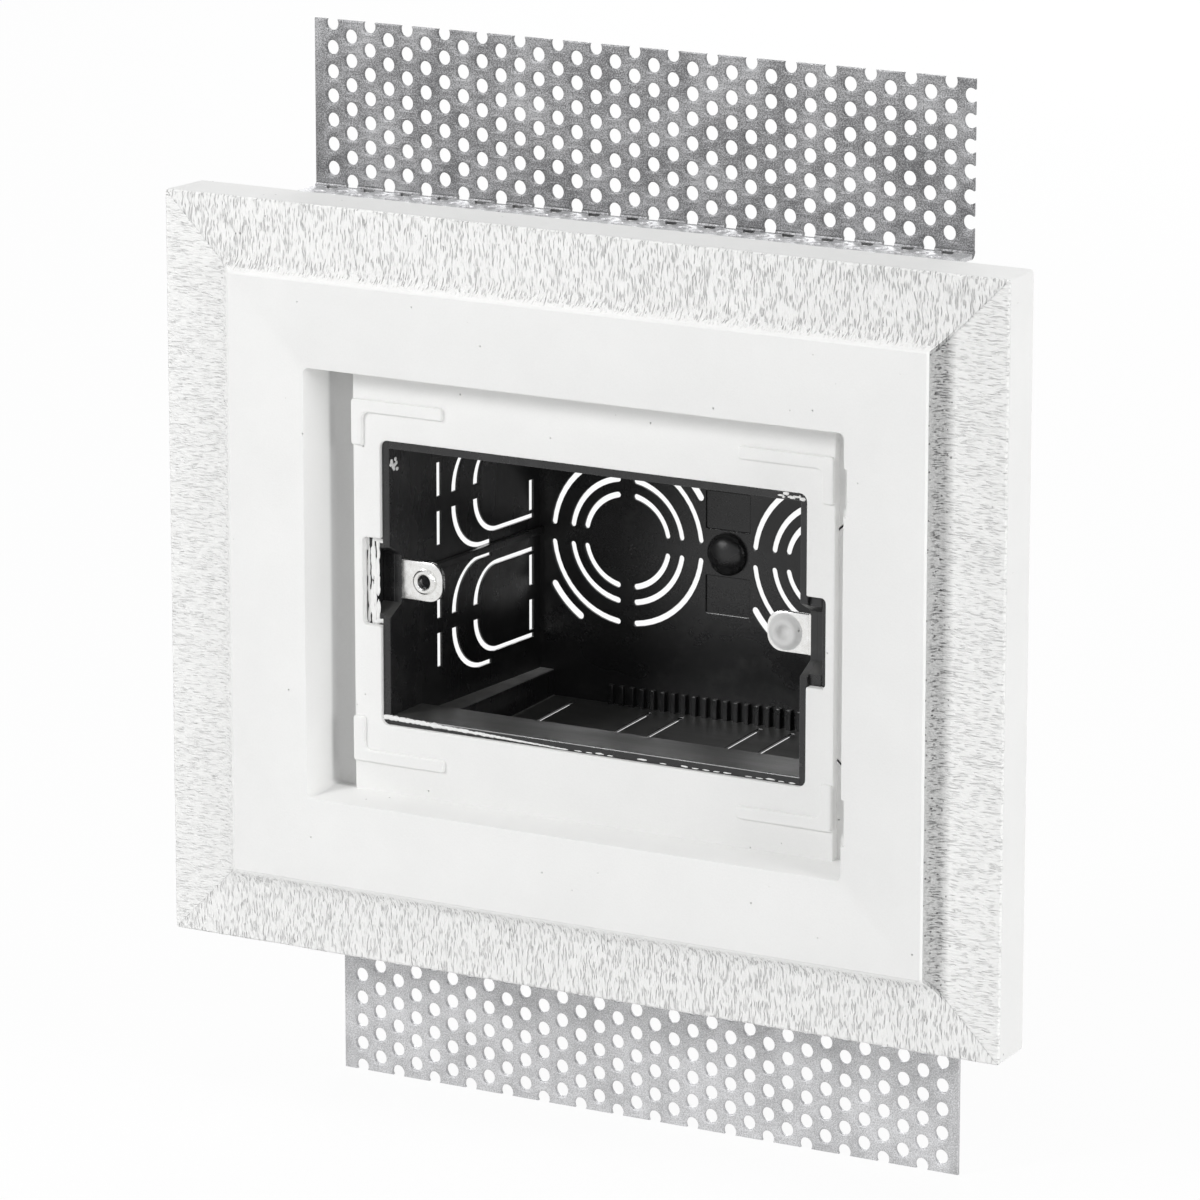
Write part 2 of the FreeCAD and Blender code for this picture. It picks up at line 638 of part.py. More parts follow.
def back_box():
    """The black moulded box behind the frame, one piece."""
    body = new_body("back_box")
    box_shell(body)
    box_tab_seats(body)
    box_knockouts(body)
    box_inner_details(body)
    return body


def screw_tab(name, sign):
    """A bent steel strip with a formed screw hole, pressed into a lug."""
    body = new_body(name)
    sketch = plan_sketch(body, name + "_profile")
    tip = "(%s (screw_spacing / 2 - tab_overhang))" % sign
    outside = "(%s tab_bend_reach)" % sign
    inside = "(%s (tab_bend_reach - tab_thickness))" % sign
    outline(sketch, [(tip, "0"), (outside, "0", "tab_bend_round"), (outside, "tab_leg"), (inside, "tab_leg"),
                     (inside, "tab_thickness", "tab_bend_round - tab_thickness"), (tip, "tab_thickness")])
    strip = extrude(body, "Pad", name + "_strip", sketch, "tab_width", symmetric=True)
    end = value(tip)
    tip_edges = []
    for edge, line in named_edges(strip):
        at_tip = all(abs(corner.X - end) < 1e-6 for corner in line.Vertexes)
        if at_tip and line.BoundBox.YLength > value("tab_thickness / 2"):
            tip_edges.append(edge)
    round_edges(body, name + "_end", strip, tip_edges, "tab_end_round")
    centre = "(%s screw_spacing / 2)" % sign
    sketch = face_sketch(body, name + "_collar_outline", "0")
    circle(sketch, centre, "0", "screw_collar")
    extrude(body, "Pad", name + "_collar", sketch, "screw_collar_height")
    sketch = face_sketch(body, name + "_hole_outline", "(0 - screw_collar_height)")
    circle(sketch, centre, "0", "screw_hole")
    extrude(body, "Pocket", name + "_hole", sketch)
    return body


def wing(name, sign, length, shift):
    """A folded strip of perforated sheet, its flange cast into the plaster."""
    body = new_body(name)
    sketch = side_sketch(body, name + "_profile", shift)
    flange_end = "(%s - wing_embed)" % SLAB_BACK
    outer = "(%s (wing_offset - sheet_thickness))" % sign
    inner = "(%s wing_offset)" % sign
    top = "(%s (wing_offset + wing_height))" % sign
    rear = "(%s + sheet_thickness)" % WING_FACE
    outline(sketch, [(flange_end, outer), (rear, outer, "sheet_bend"), (rear, top), (WING_FACE, top),
                     (WING_FACE, inner, "sheet_bend - sheet_thickness"), (flange_end, inner)])
    extrude(body, "Pad", name + "_sheet", sketch, length, symmetric=True)
    # Each punched hole is drawn as a square of the same area, to keep hundreds of them light.
    rows = "floor((wing_height - hole_bend_margin - hole_edge_margin - %s) / hole_pitch) + 1"
    for stagger in ("0", "1"):
        start = "%s - %s / 2 + hole_side_margin + %s * hole_column_step" % (shift, length, stagger)
        sketch = face_sketch(body, "%s_hole_outline_%s" % (name, stagger), WING_FACE, start)
        drop = "(hole_edge_margin + %s * hole_pitch / 2)" % stagger
        level = "(%s (wing_offset + wing_height - %s))" % (sign, drop)
        half = HOLE_HALF_DIAGONAL
        outline(sketch, [("0 - " + half, level), ("0", level + " - " + half),
                         (half, level), ("0", level + " + " + half)])
        hole = extrude(body, "Pocket", "%s_hole_%s" % (name, stagger), sketch)
        grid = repeat(body, "%s_holes_%s" % (name, stagger), hole, sketch, "H_Axis", "2 * hole_column_step",
                      "floor((%s - hole_side_margin - %s * hole_column_step) / (2 * hole_column_step)) + 1"
                      % (length, stagger))
        grid.Direction2 = (sketch, ["V_Axis"])
        grid.Reversed2 = sign == "0 +"
        grid.Mode2 = "Spacing"
        bind(grid, "Offset2", "hole_pitch")
        bind(grid, "Occurrences2", rows % (stagger + " * hole_pitch / 2"))
        doc.recompute()
    return body


def check_document():
    """Stop if any object of the document has failed."""
    for item in doc.Objects:
        for mark in ("Invalid", "Error"):
            if mark in item.State:
                raise RuntimeError("%s is %s" % (item.Label, mark))


nodes = [
    plaster_frame(),
    back_box(),
    screw_tab("screw_tab_left", "0 -"),
    screw_tab("screw_tab_right", "0 +"),
    wing("upper_wing", "0 +", "upper_wing_length", "0"),
    wing("lower_wing", "0 -", "lower_wing_length", "lower_wing_shift"),
]
doc.recompute()
check_document()
for node in nodes:
    if node.Shape.isNull() or not node.Shape.isValid():
        raise RuntimeError("%s has no valid shape" % node.Label)
os.makedirs("parts", exist_ok=True)
for node in nodes:
    node.Shape.exportStep("parts/%s.step" % node.Label)
    print(node.Label, len(node.Shape.Solids), round(node.Shape.Volume, 1))
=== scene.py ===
"""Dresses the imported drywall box: cast plaster, moulded plastic, zinc tabs and perforated sheet.

Shapes are worked out in millimetres in the solids' frame and scaled to metres when a piece is made.
"""
import bpy
import bmesh
import math
from mathutils import Matrix, Vector, noise


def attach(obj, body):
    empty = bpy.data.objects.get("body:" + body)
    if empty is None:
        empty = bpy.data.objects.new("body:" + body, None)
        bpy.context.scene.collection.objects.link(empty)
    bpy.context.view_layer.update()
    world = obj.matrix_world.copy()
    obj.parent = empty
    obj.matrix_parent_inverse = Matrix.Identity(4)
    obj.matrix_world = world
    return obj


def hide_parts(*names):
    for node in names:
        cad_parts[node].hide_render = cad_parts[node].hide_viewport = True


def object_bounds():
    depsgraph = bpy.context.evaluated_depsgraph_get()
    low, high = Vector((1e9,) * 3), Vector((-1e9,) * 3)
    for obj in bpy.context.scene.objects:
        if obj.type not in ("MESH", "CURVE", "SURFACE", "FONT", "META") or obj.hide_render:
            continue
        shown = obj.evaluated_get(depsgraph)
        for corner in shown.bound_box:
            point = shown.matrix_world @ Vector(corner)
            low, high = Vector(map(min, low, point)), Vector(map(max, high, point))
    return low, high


MM = 0.001

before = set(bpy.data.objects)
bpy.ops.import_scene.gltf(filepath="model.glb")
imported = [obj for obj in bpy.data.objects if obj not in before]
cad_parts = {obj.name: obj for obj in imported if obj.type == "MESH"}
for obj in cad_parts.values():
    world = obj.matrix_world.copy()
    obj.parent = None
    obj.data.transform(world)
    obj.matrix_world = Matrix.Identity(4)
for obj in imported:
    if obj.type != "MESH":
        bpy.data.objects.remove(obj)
cad_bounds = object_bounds()

# Directions of a plate's own X and Y: facing the viewer, along a side wall, lying level
FACING = ((1, 0, 0), (0, 0, 1))
SIDEWAYS = ((0, 1, 0), (0, 0, 1))
LEVEL = ((1, 0, 0), (0, 1, 0))

# Plaster casting
FRAME_HALF = (96.1, 78.3)
FRAME_TAPER = 0.8
PLATFORM_HALF = (80.1, 63.15)
RECESS_HALF = (61.85, 45.05)
OPENING_HALF = (49.15, 29.8)
OPENING_CORNER = 1.6
NOTCH_HALF = 9.2
NOTCH_REACH = 4.3
BAND_Y = -11.7
PLATFORM_Y = -14.1
FLOOR_Y = -5.3
GROOVE_Y = -3.6
SLAB_BACK_Y = 0.3
COVE_RADIUS = 3.9
RECESS_DRAFT = (math.radians(3), math.radians(6))
GROOVE_FILLET = 1.0
SEAT_RELIEF = 0.7
SEAT_SPAN = (55.5, 38.0)
SEAT_ARMS = (21.5, 9.6)
SEAT_WIDTH = 2.6
SEAT_RISE = 0.9
SEAT_LAP = 0.8
FLOOR_LAP = 0.4
BACK_CHAMFER = 0.25
FRONT_CHAMFER = 0.35
COVE_STEPS = 6
NICK_DEPTH = 0.22
UNEVEN_DEPTH = 0.06

# Moulded box
WALL = 1.8
RIM_Y = -4.5
SHOULDER_Y = 6.0
CHAMBER_Y = 7.8
BACK_Y = 52.0
DRAFT = math.radians(3)
DRAFT_SHIFT = (BACK_Y - CHAMBER_Y) * math.tan(DRAFT)
INNER_HALF = (47.35, 35.5 + DRAFT_SHIFT)
BACK_HALF = (47.35 - DRAFT_SHIFT, 35.5)
MOUTH_HALF = 28.0
RAIL_WIDTH = 3.4
RAIL_HEIGHT = 5.6
LUG_FRONT_Y = -3.6
LUG_WALL = 1.6
LUG_MOUTH_HALF = 7.4
LUG_FLOOR_HALF = 5.0
RAIL_OUT = (48.0, 37.0)
PANEL_Z = 9.0
PANEL_HALF = (5.2, 4.0)
PANEL_MARGIN = 0.2
BOSS_RADIUS = 4.5
BOSS_STEP = 0.4
BOSS_RISE = 2.0
TEETH = 23
TOOTH_PITCH = 2.5
TOOTH_HALF = 0.6
TOOTH_TOP_Z = -31.3

# Knock-outs
SLIT = 1.6
RING_SLIT = 1.2
ARCH_FRONT = 2.0
ARCH_LEG = 0.9
SKIN = 0.6
BRIDGE = 3.2
RING_X = 24.0
RING_RADII = (9.9, 13.2, 17.7)
CORNER_SLIT_RADIUS = 20.8
CORNER_SLIT_SPREAD = 12
ARCH = (9.3, 28.0, 49.6)
OUTER_ARCH = (11.6, 20.0, 33.5)
SIDE_ARCH_Z = 12.9
FLOOR_ARCH_X = 26.3
BAR_DEPTH = 14.4
BAR_HALF = 8.7

# Screw tabs
SCREW_X = 41.75
SCREW_RADIUS = 1.5
COLLAR_RADIUS = 2.7
COLLAR_HEIGHT = 0.8
TAB_TIP = 37.65
TAB_BEND = 48.6
TAB_HALF = 4.1
TAB_THICK = 1.2
TAB_LEG = 5.6
TAB_CURVE = 1.6
TAB_TIP_RADIUS = 3.2

# Perforated wings
SHEET = 1.0
WING_Y = 13.3
WING_Z = 77.0
WING_TOP = 111.6
BEND_OUTER = 1.6
FLANGE_END_Y = -7.7
HOLE_RADIUS = 1.5
HOLE_PITCH = 5.0
HOLE_STEP = 4.42
HOLE_SIDE = 4.2
HOLE_EDGE = 0.8
HOLE_MARGIN = 0.6
WING_SPANS = {"upper": (-75.5, 75.5), "lower": (-70.3, 74.7)}

# Camera, fitted to the photograph's corners
CAMERA_AZIMUTH = math.radians(29.91)
CAMERA_ELEVATION = math.radians(13.84)
CAMERA_DISTANCE = 1402.7
CAMERA_ASIDE = (0.53, -1.30)
CAMERA_FOCAL = 6979.3 / 1200


def arc(centre, radius, start, stop, steps):
    """Points along an arc, angles in degrees, both ends included."""
    points = []
    for i in range(steps + 1):
        turn = math.radians(start + (stop - start) * i / steps)
        points.append((centre[0] + radius * math.cos(turn), centre[1] + radius * math.sin(turn)))
    return points


def circle(centre, radius, steps):
    """A circle as a loop."""
    return arc(centre, radius, 0, 360, steps)[:-1]


def rounded(corners, steps=4):
    """A loop through corners (x, y, radius), with each corner replaced by an arc."""
    points = []
    count = len(corners)
    for i, (x, y, radius) in enumerate(corners):
        here = Vector((x, y))
        back = (Vector(corners[i - 1][:2]) - here).normalized()
        ahead = (Vector(corners[(i + 1) % count][:2]) - here).normalized()
        if radius == 0:
            points.append((x, y))
            continue
        half = back.angle(ahead) / 2
        centre = here + (back + ahead).normalized() * (radius / math.sin(half))
        first = here + back * (radius / math.tan(half)) - centre
        last = here + ahead * (radius / math.tan(half)) - centre
        start = math.degrees(math.atan2(first.y, first.x))
        sweep = math.degrees(math.atan2(first.x * last.y - first.y * last.x, first.dot(last)))
        points += arc(centre, radius, start, start + sweep, steps)
    return points


def rectangle(left, right, low, high, radius=0.0):
    """A rectangle as a loop, with rounded corners where a radius is given."""
    return rounded([(left, low, radius), (right, low, radius), (right, high, radius), (left, high, radius)])


def turned(points, degrees, centre):
    """The points turned about the origin, then moved to a centre."""
    cos, sin = math.cos(math.radians(degrees)), math.sin(math.radians(degrees))
    return [(centre[0] + x * cos - y * sin, centre[1] + x * sin + y * cos) for x, y in points]


def plate(outline, holes, thickness, edge):
    """A flat sheet with holes and softened edges, as a bmesh about its middle plane."""
    data = bpy.data.curves.new("plate", "CURVE")
    data.dimensions = "2D"
    data.fill_mode = "BOTH"
    data.extrude = thickness / 2 - edge
    data.bevel_depth = edge
    data.bevel_resolution = 1
    data.offset = -edge
    for loop in [outline] + holes:
        spline = data.splines.new("POLY")
        spline.points.add(len(loop) - 1)
        for point, (x, y) in zip(spline.points, loop):
            point.co = (x, y, 0, 1)
        spline.use_cyclic_u = True
    holder = bpy.data.objects.new("plate", data)
    bpy.context.scene.collection.objects.link(holder)
    mesh = bpy.data.meshes.new_from_object(holder.evaluated_get(bpy.context.evaluated_depsgraph_get()))
    bm = bmesh.new()
    bm.from_mesh(mesh)
    bmesh.ops.remove_doubles(bm, verts=bm.verts, dist=1e-4)
    bpy.data.objects.remove(holder)
    bpy.data.curves.remove(data)
    bpy.data.meshes.remove(mesh)
    return bm


def block(low, high, edge):
    """A box between two corners with rounded edges, as a bmesh."""
    bm = bmesh.new()
    bmesh.ops.create_cube(bm, size=1)
    size = [b - a for a, b in zip(low, high)]
    middle = [(a + b) / 2 for a, b in zip(low, high)]
    bmesh.ops.scale(bm, vec=size, verts=bm.verts)
    bmesh.ops.translate(bm, vec=middle, verts=bm.verts)
    bmesh.ops.bevel(bm, geom=bm.edges[:], offset=edge, segments=2, profile=0.5, material=-1, affect="EDGES")
    return bm


def lathe(profile, steps):
    """A profile of (radius, height) pairs turned about the local Z axis, as a bmesh."""
    bm = bmesh.new()
    points = [bm.verts.new((radius, 0, height)) for radius, height in profile]
    edges = [bm.edges.new(pair) for pair in zip(points, points[1:])]
    bmesh.ops.spin(bm, geom=points + edges, cent=(0, 0, 0), axis=(0, 0, 1),
                   angle=2 * math.pi, steps=steps, use_merge=True)
    bmesh.ops.remove_doubles(bm, verts=bm.verts, dist=1e-4)
    return bm


def drawn(section, shift):
    """A flat loop of points drawn along a shift into a solid bar, as a bmesh."""
    bm = bmesh.new()
    face = bm.faces.new([bm.verts.new(point) for point in section])
    grown = bmesh.ops.extrude_face_region(bm, geom=[face])["geom"]
    bmesh.ops.translate(bm, vec=shift, verts=[part for part in grown if isinstance(part, bmesh.types.BMVert)])
    return bm


def axes(origin, along, up):
    """The matrix that puts a plate's own X along one direction and its Y along another."""
    first = Vector(along).normalized()
    second = Vector(up).normalized()
    third = first.cross(second)
    matrix = Matrix((first, second, third)).transposed().to_4x4()
    matrix.translation = origin
    return matrix


class Piece:
    """A mesh gathered from several shapes and made into one Blender object."""

    def __init__(self, name):
        self.name = name
        self.bm = bmesh.new()

    def add(self, shape, matrix=Matrix()):
        """Take over a shape, moved by a matrix."""
        bmesh.ops.transform(shape, matrix=matrix, verts=shape.verts)
        if matrix.determinant() < 0:
            bmesh.ops.reverse_faces(shape, faces=shape.faces)
        mesh = bpy.data.meshes.new("shape")
        shape.to_mesh(mesh)
        shape.free()
        self.bm.from_mesh(mesh)
        bpy.data.meshes.remove(mesh)

    def make(self, material, node=None, sharp=32):
        """Make the object in metres, riding on the part and shaded by its edges' angles."""
        bmesh.ops.recalc_face_normals(self.bm, faces=self.bm.faces)
        bmesh.ops.scale(self.bm, vec=(MM, MM, MM), verts=self.bm.verts)
        mesh = bpy.data.meshes.new(self.name)
        self.bm.to_mesh(mesh)
        self.bm.free()
        mesh.shade_smooth()
        mesh.set_sharp_from_angle(angle=math.radians(sharp))
        mesh.materials.append(material)
        obj = bpy.data.objects.new(self.name, mesh)
        bpy.context.scene.collection.objects.link(obj)
        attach(obj, "root")
        if node:
            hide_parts(node)


class Graph:
    """A procedural material with a short way to add and join its nodes."""

    def __init__(self, name):
        self.material = bpy.data.materials.new(name)
        self.material.use_nodes = True
        self.tree = self.material.node_tree
        self.shader = self.tree.nodes["Principled BSDF"]

    def add(self, kind, inputs=None, **settings):
        """A node with its settings, and its inputs set or linked by name or number."""
        node = self.tree.nodes.new("ShaderNode" + kind)
        for key, setting in settings.items():
            setattr(node, key, setting)
        self.feed(node, inputs or {})
        return node

    def feed(self, node, inputs):
        """Set or link some of a node's inputs."""
        for key, source in inputs.items():
            if isinstance(source, bpy.types.NodeSocket):
                self.tree.links.new(source, node.inputs[key])
            else:
                node.inputs[key].default_value = source

    def maths(self, operation, first, second=0.0):
        """One arithmetic step."""
        return self.add("Math", {0: first, 1: second}, operation=operation).outputs[0]

    def noise(self, place, scale, detail=3.0, rough=0.55):
        """Fractal noise at a place."""
        settings = {"Vector": place, "Scale": scale, "Detail": detail, "Roughness": rough}
        return self.add("TexNoise", settings).outputs["Fac"]

    def ramp(self, value, low, high, start=0.0, stop=1.0):
        """A value's range brought to another range and held there."""
        settings = {"Value": value, "From Min": low, "From Max": high, "To Min": start, "To Max": stop}
        return self.add("MapRange", settings).outputs[0]

    def tint(self, value, dark, light):
        """A colour between two, picked by a value."""
        mix = self.add("Mix", data_type="RGBA")
        self.tree.links.new(value, mix.inputs[0])
        mix.inputs[6].default_value = (*dark, 1)
        mix.inputs[7].default_value = (*light, 1)
        return mix.outputs[2]

    def place(self, scale=(1, 1, 1)):
        """Object coordinates in millimetres, stretched by a scale."""
        coords = self.add("TexCoord").outputs["Object"]
        stretch = tuple(1000 * part for part in scale)
        return self.add("Mapping", {"Vector": coords, "Scale": stretch}).outputs[0]

    def bump(self, height, distance, strength=1.0, under=None):
        """A bump in metres on top of another one."""
        inputs = {"Height": height, "Distance": distance, "Strength": strength}
        if under:
            inputs["Normal"] = under
        return self.add("Bump", inputs).outputs[0]


def plaster_material():
    """White cast plaster: combed band, fine pits and a faint unevenness, with painted shade in the right cove
    and the grooves and painted light on the band.
    """
    g = Graph("plaster")
    place = g.place()
    parts = g.add("SeparateXYZ", {0: place}).outputs
    across = g.maths("ABSOLUTE", parts[0])
    upward = g.maths("ABSOLUTE", parts[2])
    # How far a point lies outside the platform, and which side of the mitre it is on.
    outside = g.maths("MAXIMUM", g.maths("SUBTRACT", across, PLATFORM_HALF[0]),
                      g.maths("SUBTRACT", upward, PLATFORM_HALF[1]))
    mitre = g.maths("SUBTRACT", g.maths("SUBTRACT", across, FRAME_HALF[0]),
                    g.maths("SUBTRACT", upward, FRAME_HALF[1]))
    on_side = g.maths("GREATER_THAN", mitre, 0.0)
    in_front = g.ramp(parts[1], BAND_Y + 0.9, BAND_Y + 0.2)
    on_band = g.maths("MULTIPLY", g.ramp(outside, 0.1, 1.0), in_front)
    # The band is combed in strokes that wander, fade in patches and meet at the mitre.
    wander = g.maths("MULTIPLY", g.noise(place, 0.35, 2.0), 0.8)
    strokes = []
    for first, second, stretch in ((0, 2, (3.4, 1.0, 0.5)), (2, 0, (0.5, 1.0, 3.4))):
        shifted = g.add("CombineXYZ", {first: g.maths("ADD", parts[first], wander),
                                       1: parts[1], second: parts[second]}).outputs[0]
        stretched = g.add("VectorMath", {0: shifted, 1: stretch}, operation="MULTIPLY").outputs[0]
        strokes.append(g.noise(stretched, 1.0, 1.0, 0.5))
    comb = g.add("Mix", {0: on_side, 2: strokes[0], 3: strokes[1]}, data_type="FLOAT").outputs[0]
    line = g.ramp(g.maths("ABSOLUTE", mitre), 0.0, 0.4, 0.6, 0.0)
    scratch = g.ramp(comb, 0.32, 0.44, 1.0, 0.0)
    scratch = g.maths("MULTIPLY", scratch, g.ramp(g.noise(place, 0.5, 2.0), 0.35, 0.6, 0.5, 1.0))
    valley = g.maths("MULTIPLY", g.maths("ADD", scratch, line), on_band)
    grain = g.noise(place, 2.4, 4.0, 0.7)
    # Small pits are spread thinly everywhere and thickly in the crumbled cove on the right.
    cells = g.add("TexVoronoi", {"Vector": place, "Scale": 1.0, "Randomness": 1.0}).outputs
    chance = g.add("SeparateXYZ", {0: cells["Color"]}).outputs[0]
    in_cove = g.maths("MULTIPLY", g.ramp(outside, -0.05, 0.05), g.ramp(outside, 4.8, 2.6))
    in_cove = g.maths("MULTIPLY", in_cove, in_front)
    # The crumbled cove on the right of the platform also carries painted shade, standing in for the
    # platform's shadow.
    beside = g.maths("GREATER_THAN", g.maths("SUBTRACT", parts[0], PLATFORM_HALF[0]),
                     g.maths("SUBTRACT", upward, PLATFORM_HALF[1]))
    shaded_rough_cove = g.maths("MULTIPLY", in_cove, beside)
    picked = g.maths("LESS_THAN", chance, g.maths("ADD", g.maths("MULTIPLY", shaded_rough_cove, 0.4), 0.006))
    pits = g.maths("MULTIPLY", g.ramp(cells["Distance"], 0.26, 0.1), picked)
    crumble = g.noise(place, 1.9, 4.0, 0.8)
    shaded_rough_cove = g.maths("MULTIPLY", shaded_rough_cove, g.ramp(crumble, 0.3, 0.7, 1.2, 0.7))
    # Painted shade darkens the grooves beside the recess floor, most of all the left one, in the left wall's
    # shadow.
    beside_floor = g.maths("MULTIPLY", g.maths("GREATER_THAN", across, SEAT_SPAN[0] - 0.2),
                           g.maths("LESS_THAN", outside, -10.0))
    beside_floor = g.maths("MULTIPLY", beside_floor, g.ramp(parts[0], -1.0, 1.0, 1.0, 0.1))
    painted_groove_shade = g.maths("MULTIPLY", beside_floor,
                        g.maths("MULTIPLY", g.ramp(parts[1], FLOOR_Y, FLOOR_Y + 1.0),
                                g.maths("LESS_THAN", parts[1], GROOVE_Y + 0.5)))
    # Bumps: the slow swell, the grain, the crumbled coves, the pits, the combing and its scratches.
    swell = g.noise(place, 0.06, 2.0)
    normal = g.bump(swell, 0.0004, 0.5)
    normal = g.bump(grain, 0.00006, 0.7, normal)
    normal = g.bump(g.maths("MULTIPLY", crumble, in_cove), 0.0003, 0.6, normal)
    normal = g.bump(g.maths("SUBTRACT", 1.0, pits), 0.0003, 0.8, normal)
    deeper = g.maths("MAXIMUM", g.ramp(on_side, 0.0, 1.0, 1.0, 0.45), shaded_rough_cove)
    valley = g.maths("MULTIPLY", valley, deeper)
    normal = g.bump(g.maths("MULTIPLY", g.ramp(comb, 0.3, 0.7), on_band), 0.0002, 0.7, normal)
    normal = g.bump(g.maths("SUBTRACT", 1.0, valley), 0.0002, 0.8, normal)
    # Painted light: the band's colour is made brighter towards the left and the bottom.
    tone = g.maths("ADD", g.maths("MULTIPLY", swell, 0.5), g.maths("MULTIPLY", grain, 0.5))
    shade = g.ramp(tone, 0.3, 0.7, 0.87, 0.93)
    painted_band_light = g.maths("ADD", g.ramp(parts[0], -FRAME_HALF[0], FRAME_HALF[0], 0.18, 0.02),
                       g.ramp(parts[2], 60.0, -60.0, 0.0, 0.1))
    painted_band_light = g.maths("MULTIPLY", g.maths("MULTIPLY", g.ramp(outside, -0.3, 0.1), in_front), painted_band_light)
    shade = g.maths("ADD", shade, painted_band_light)
    # The skin over the right tab is so thin that it looks grey.
    beyond_screw = g.maths("ABSOLUTE", g.maths("SUBTRACT", parts[0], SCREW_X))
    thin_skin = g.maths("LESS_THAN", g.maths("MAXIMUM", beyond_screw, upward), TAB_HALF + 0.2)
    # Painted shade darkens the right cove and the grooves beside the floor; the comb valleys, pits and thin
    # skin are marks of their own.
    darkening = ((valley, 0.4), (shaded_rough_cove, 0.58), (pits, 0.45), (painted_groove_shade, 0.34), (thin_skin, 0.26))
    for part, darker in darkening:
        shade = g.maths("SUBTRACT", shade, g.maths("MULTIPLY", part, darker))
    colour = g.tint(shade, (0.2, 0.2, 0.2), (0.93, 0.93, 0.92))
    rough = g.ramp(grain, 0.3, 0.7, 0.78, 0.92)
    g.feed(g.shader, {"Base Color": colour, "Roughness": rough, "Normal": normal, "Specular IOR Level": 0.25})
    return g.material


def plastic_material():
    """Satin black moulded plastic with a faint spark-eroded grain, dusty patches and a painted highlight on
    the lower rails.
    """
    g = Graph("box_plastic")
    place = g.place()
    grain = g.noise(place, 3.2, 3.0, 0.65)
    flow = g.noise(g.place((0.03, 0.16, 0.05)), 1.0, 3.0)
    facing = g.add("SeparateXYZ", {0: g.add("NewGeometry").outputs["Normal"]}).outputs[2]
    cloud = g.noise(place, 0.22, 5.0, 0.7)
    settled = g.maths("MULTIPLY", g.ramp(facing, 0.5, 0.95), g.ramp(cloud, 0.3, 0.7, 0.55, 1.0))
    dust = g.maths("MAXIMUM", g.ramp(cloud, 0.5, 0.85, 0.0, 0.3), settled)
    # A painted highlight lies on the tops of the lower corner rails, strongest towards the back wall.
    parts = g.add("SeparateXYZ", {0: place}).outputs
    at_side = g.ramp(g.maths("ABSOLUTE", parts[0]), 41.2, 42.4)
    on_rail = g.maths("MULTIPLY", at_side, g.maths("LESS_THAN", parts[2], 0.0))
    painted_rail_highlight = g.maths("MULTIPLY", settled, g.maths("MULTIPLY", on_rail, g.ramp(parts[1], 10.0, 50.0)))
    normal = g.bump(flow, 0.0006, 0.25)
    normal = g.bump(grain, 0.00005, 0.6, normal)
    colour = g.tint(dust, (0.014, 0.014, 0.0145), (0.075, 0.075, 0.073))
    highlighted = g.add("Mix", {0: painted_rail_highlight, 6: colour, 7: (0.75, 0.75, 0.74, 1)}, data_type="RGBA")
    colour = highlighted.outputs[2]
    rough = g.maths("ADD", g.ramp(flow, 0.3, 0.7, 0.2, 0.34), g.maths("MULTIPLY", dust, 0.2))
    g.feed(g.shader, {"Base Color": colour, "Roughness": rough, "Normal": normal, "Specular IOR Level": 0.5})
    return g.material


def zinc_material():
    """Bright zinc plating with fine rolling lines and small stains."""
    g = Graph("tab_steel")
    lines = g.noise(g.place((0.3, 0.3, 6.0)), 1.0, 2.0)
    stain = g.noise(g.place(), 0.7, 4.0, 0.65)
    colour = g.tint(g.ramp(stain, 0.35, 0.65), (0.74, 0.73, 0.71), (0.86, 0.86, 0.85))
    rough = g.ramp(stain, 0.3, 0.7, 0.32, 0.2)
    normal = g.bump(lines, 0.00003, 0.5)
    g.feed(g.shader, {"Base Color": colour, "Roughness": rough, "Normal": normal, "Metallic": 1.0})
    return g.material


def galvanised_material():
    """Grey galvanised sheet with fine dark speckle, soft patches and painted light on the lower wing and the
    flanges.
    """
    g = Graph("wing_steel")
    place = g.place()
    speckle = g.noise(place, 3.6, 3.0, 0.75)
    patches = g.noise(place, 0.12, 3.0)
    tone = g.maths("ADD", g.maths("MULTIPLY", speckle, 0.75), g.maths("MULTIPLY", patches, 0.25))
    parts = g.add("SeparateXYZ", {0: place}).outputs
    # Painted light: the lower wing and both flanges are painted paler than the upper wing.
    on_flange = g.maths("LESS_THAN", parts[1], WING_Y - 0.3)
    painted_paler = g.maths("MAXIMUM", g.maths("LESS_THAN", parts[2], 0.0), on_flange)
    tone = g.maths("ADD", g.ramp(tone, 0.4, 0.6, -0.06, 0.48), g.ramp(painted_paler, 0.0, 1.0, 0.0, 0.46))
    colour = g.tint(tone, (0.12, 0.12, 0.123), (0.77, 0.77, 0.78))
    rough = g.ramp(speckle, 0.3, 0.7, 0.62, 0.42)
    normal = g.bump(speckle, 0.00008, 0.7)
    g.feed(g.shader, {"Base Color": colour, "Roughness": rough, "Normal": normal, "Metallic": 0.75})
    return g.material


def side_stations(half, corner, notched, relief):
    """Points (x, z) up the right side of a ring, stepping out round the notch or beside the seats."""
    high = half[1] - corner
    low_seat, top_seat = SEAT_SPAN[1] - SEAT_ARMS[1], SEAT_SPAN[1]
    beyond = 12
    # Heights and steps out from the middle upwards, 26 of them in both cases.
    if notched:
        middle = [(0, NOTCH_REACH), (4, NOTCH_REACH), (NOTCH_HALF, NOTCH_REACH), (NOTCH_HALF, 0)]
        middle += [(beyond + (high - beyond) * i / 22, 0) for i in range(22)]
    else:
        middle = [(0, 0), (4, 0), (8.8, 0), (9.6, 0)]
        middle += [(beyond + 2.2 * i, 0) for i in range(7)]
        middle += [(low_seat - 0.1, 0), (low_seat + 0.1, relief)]
        middle += [(low_seat + 2.4 * i, relief) for i in (1, 2, 3)]
        middle += [(top_seat - 0.1, relief), (top_seat + 0.1, 0)]
        middle += [(top_seat + (high - top_seat) * i / 9, 0) for i in range(1, 9)]
    upper = [(half[0] + out, z) for z, out in middle]
    return [(x, -z) for x, z in reversed(upper[1:])] + upper


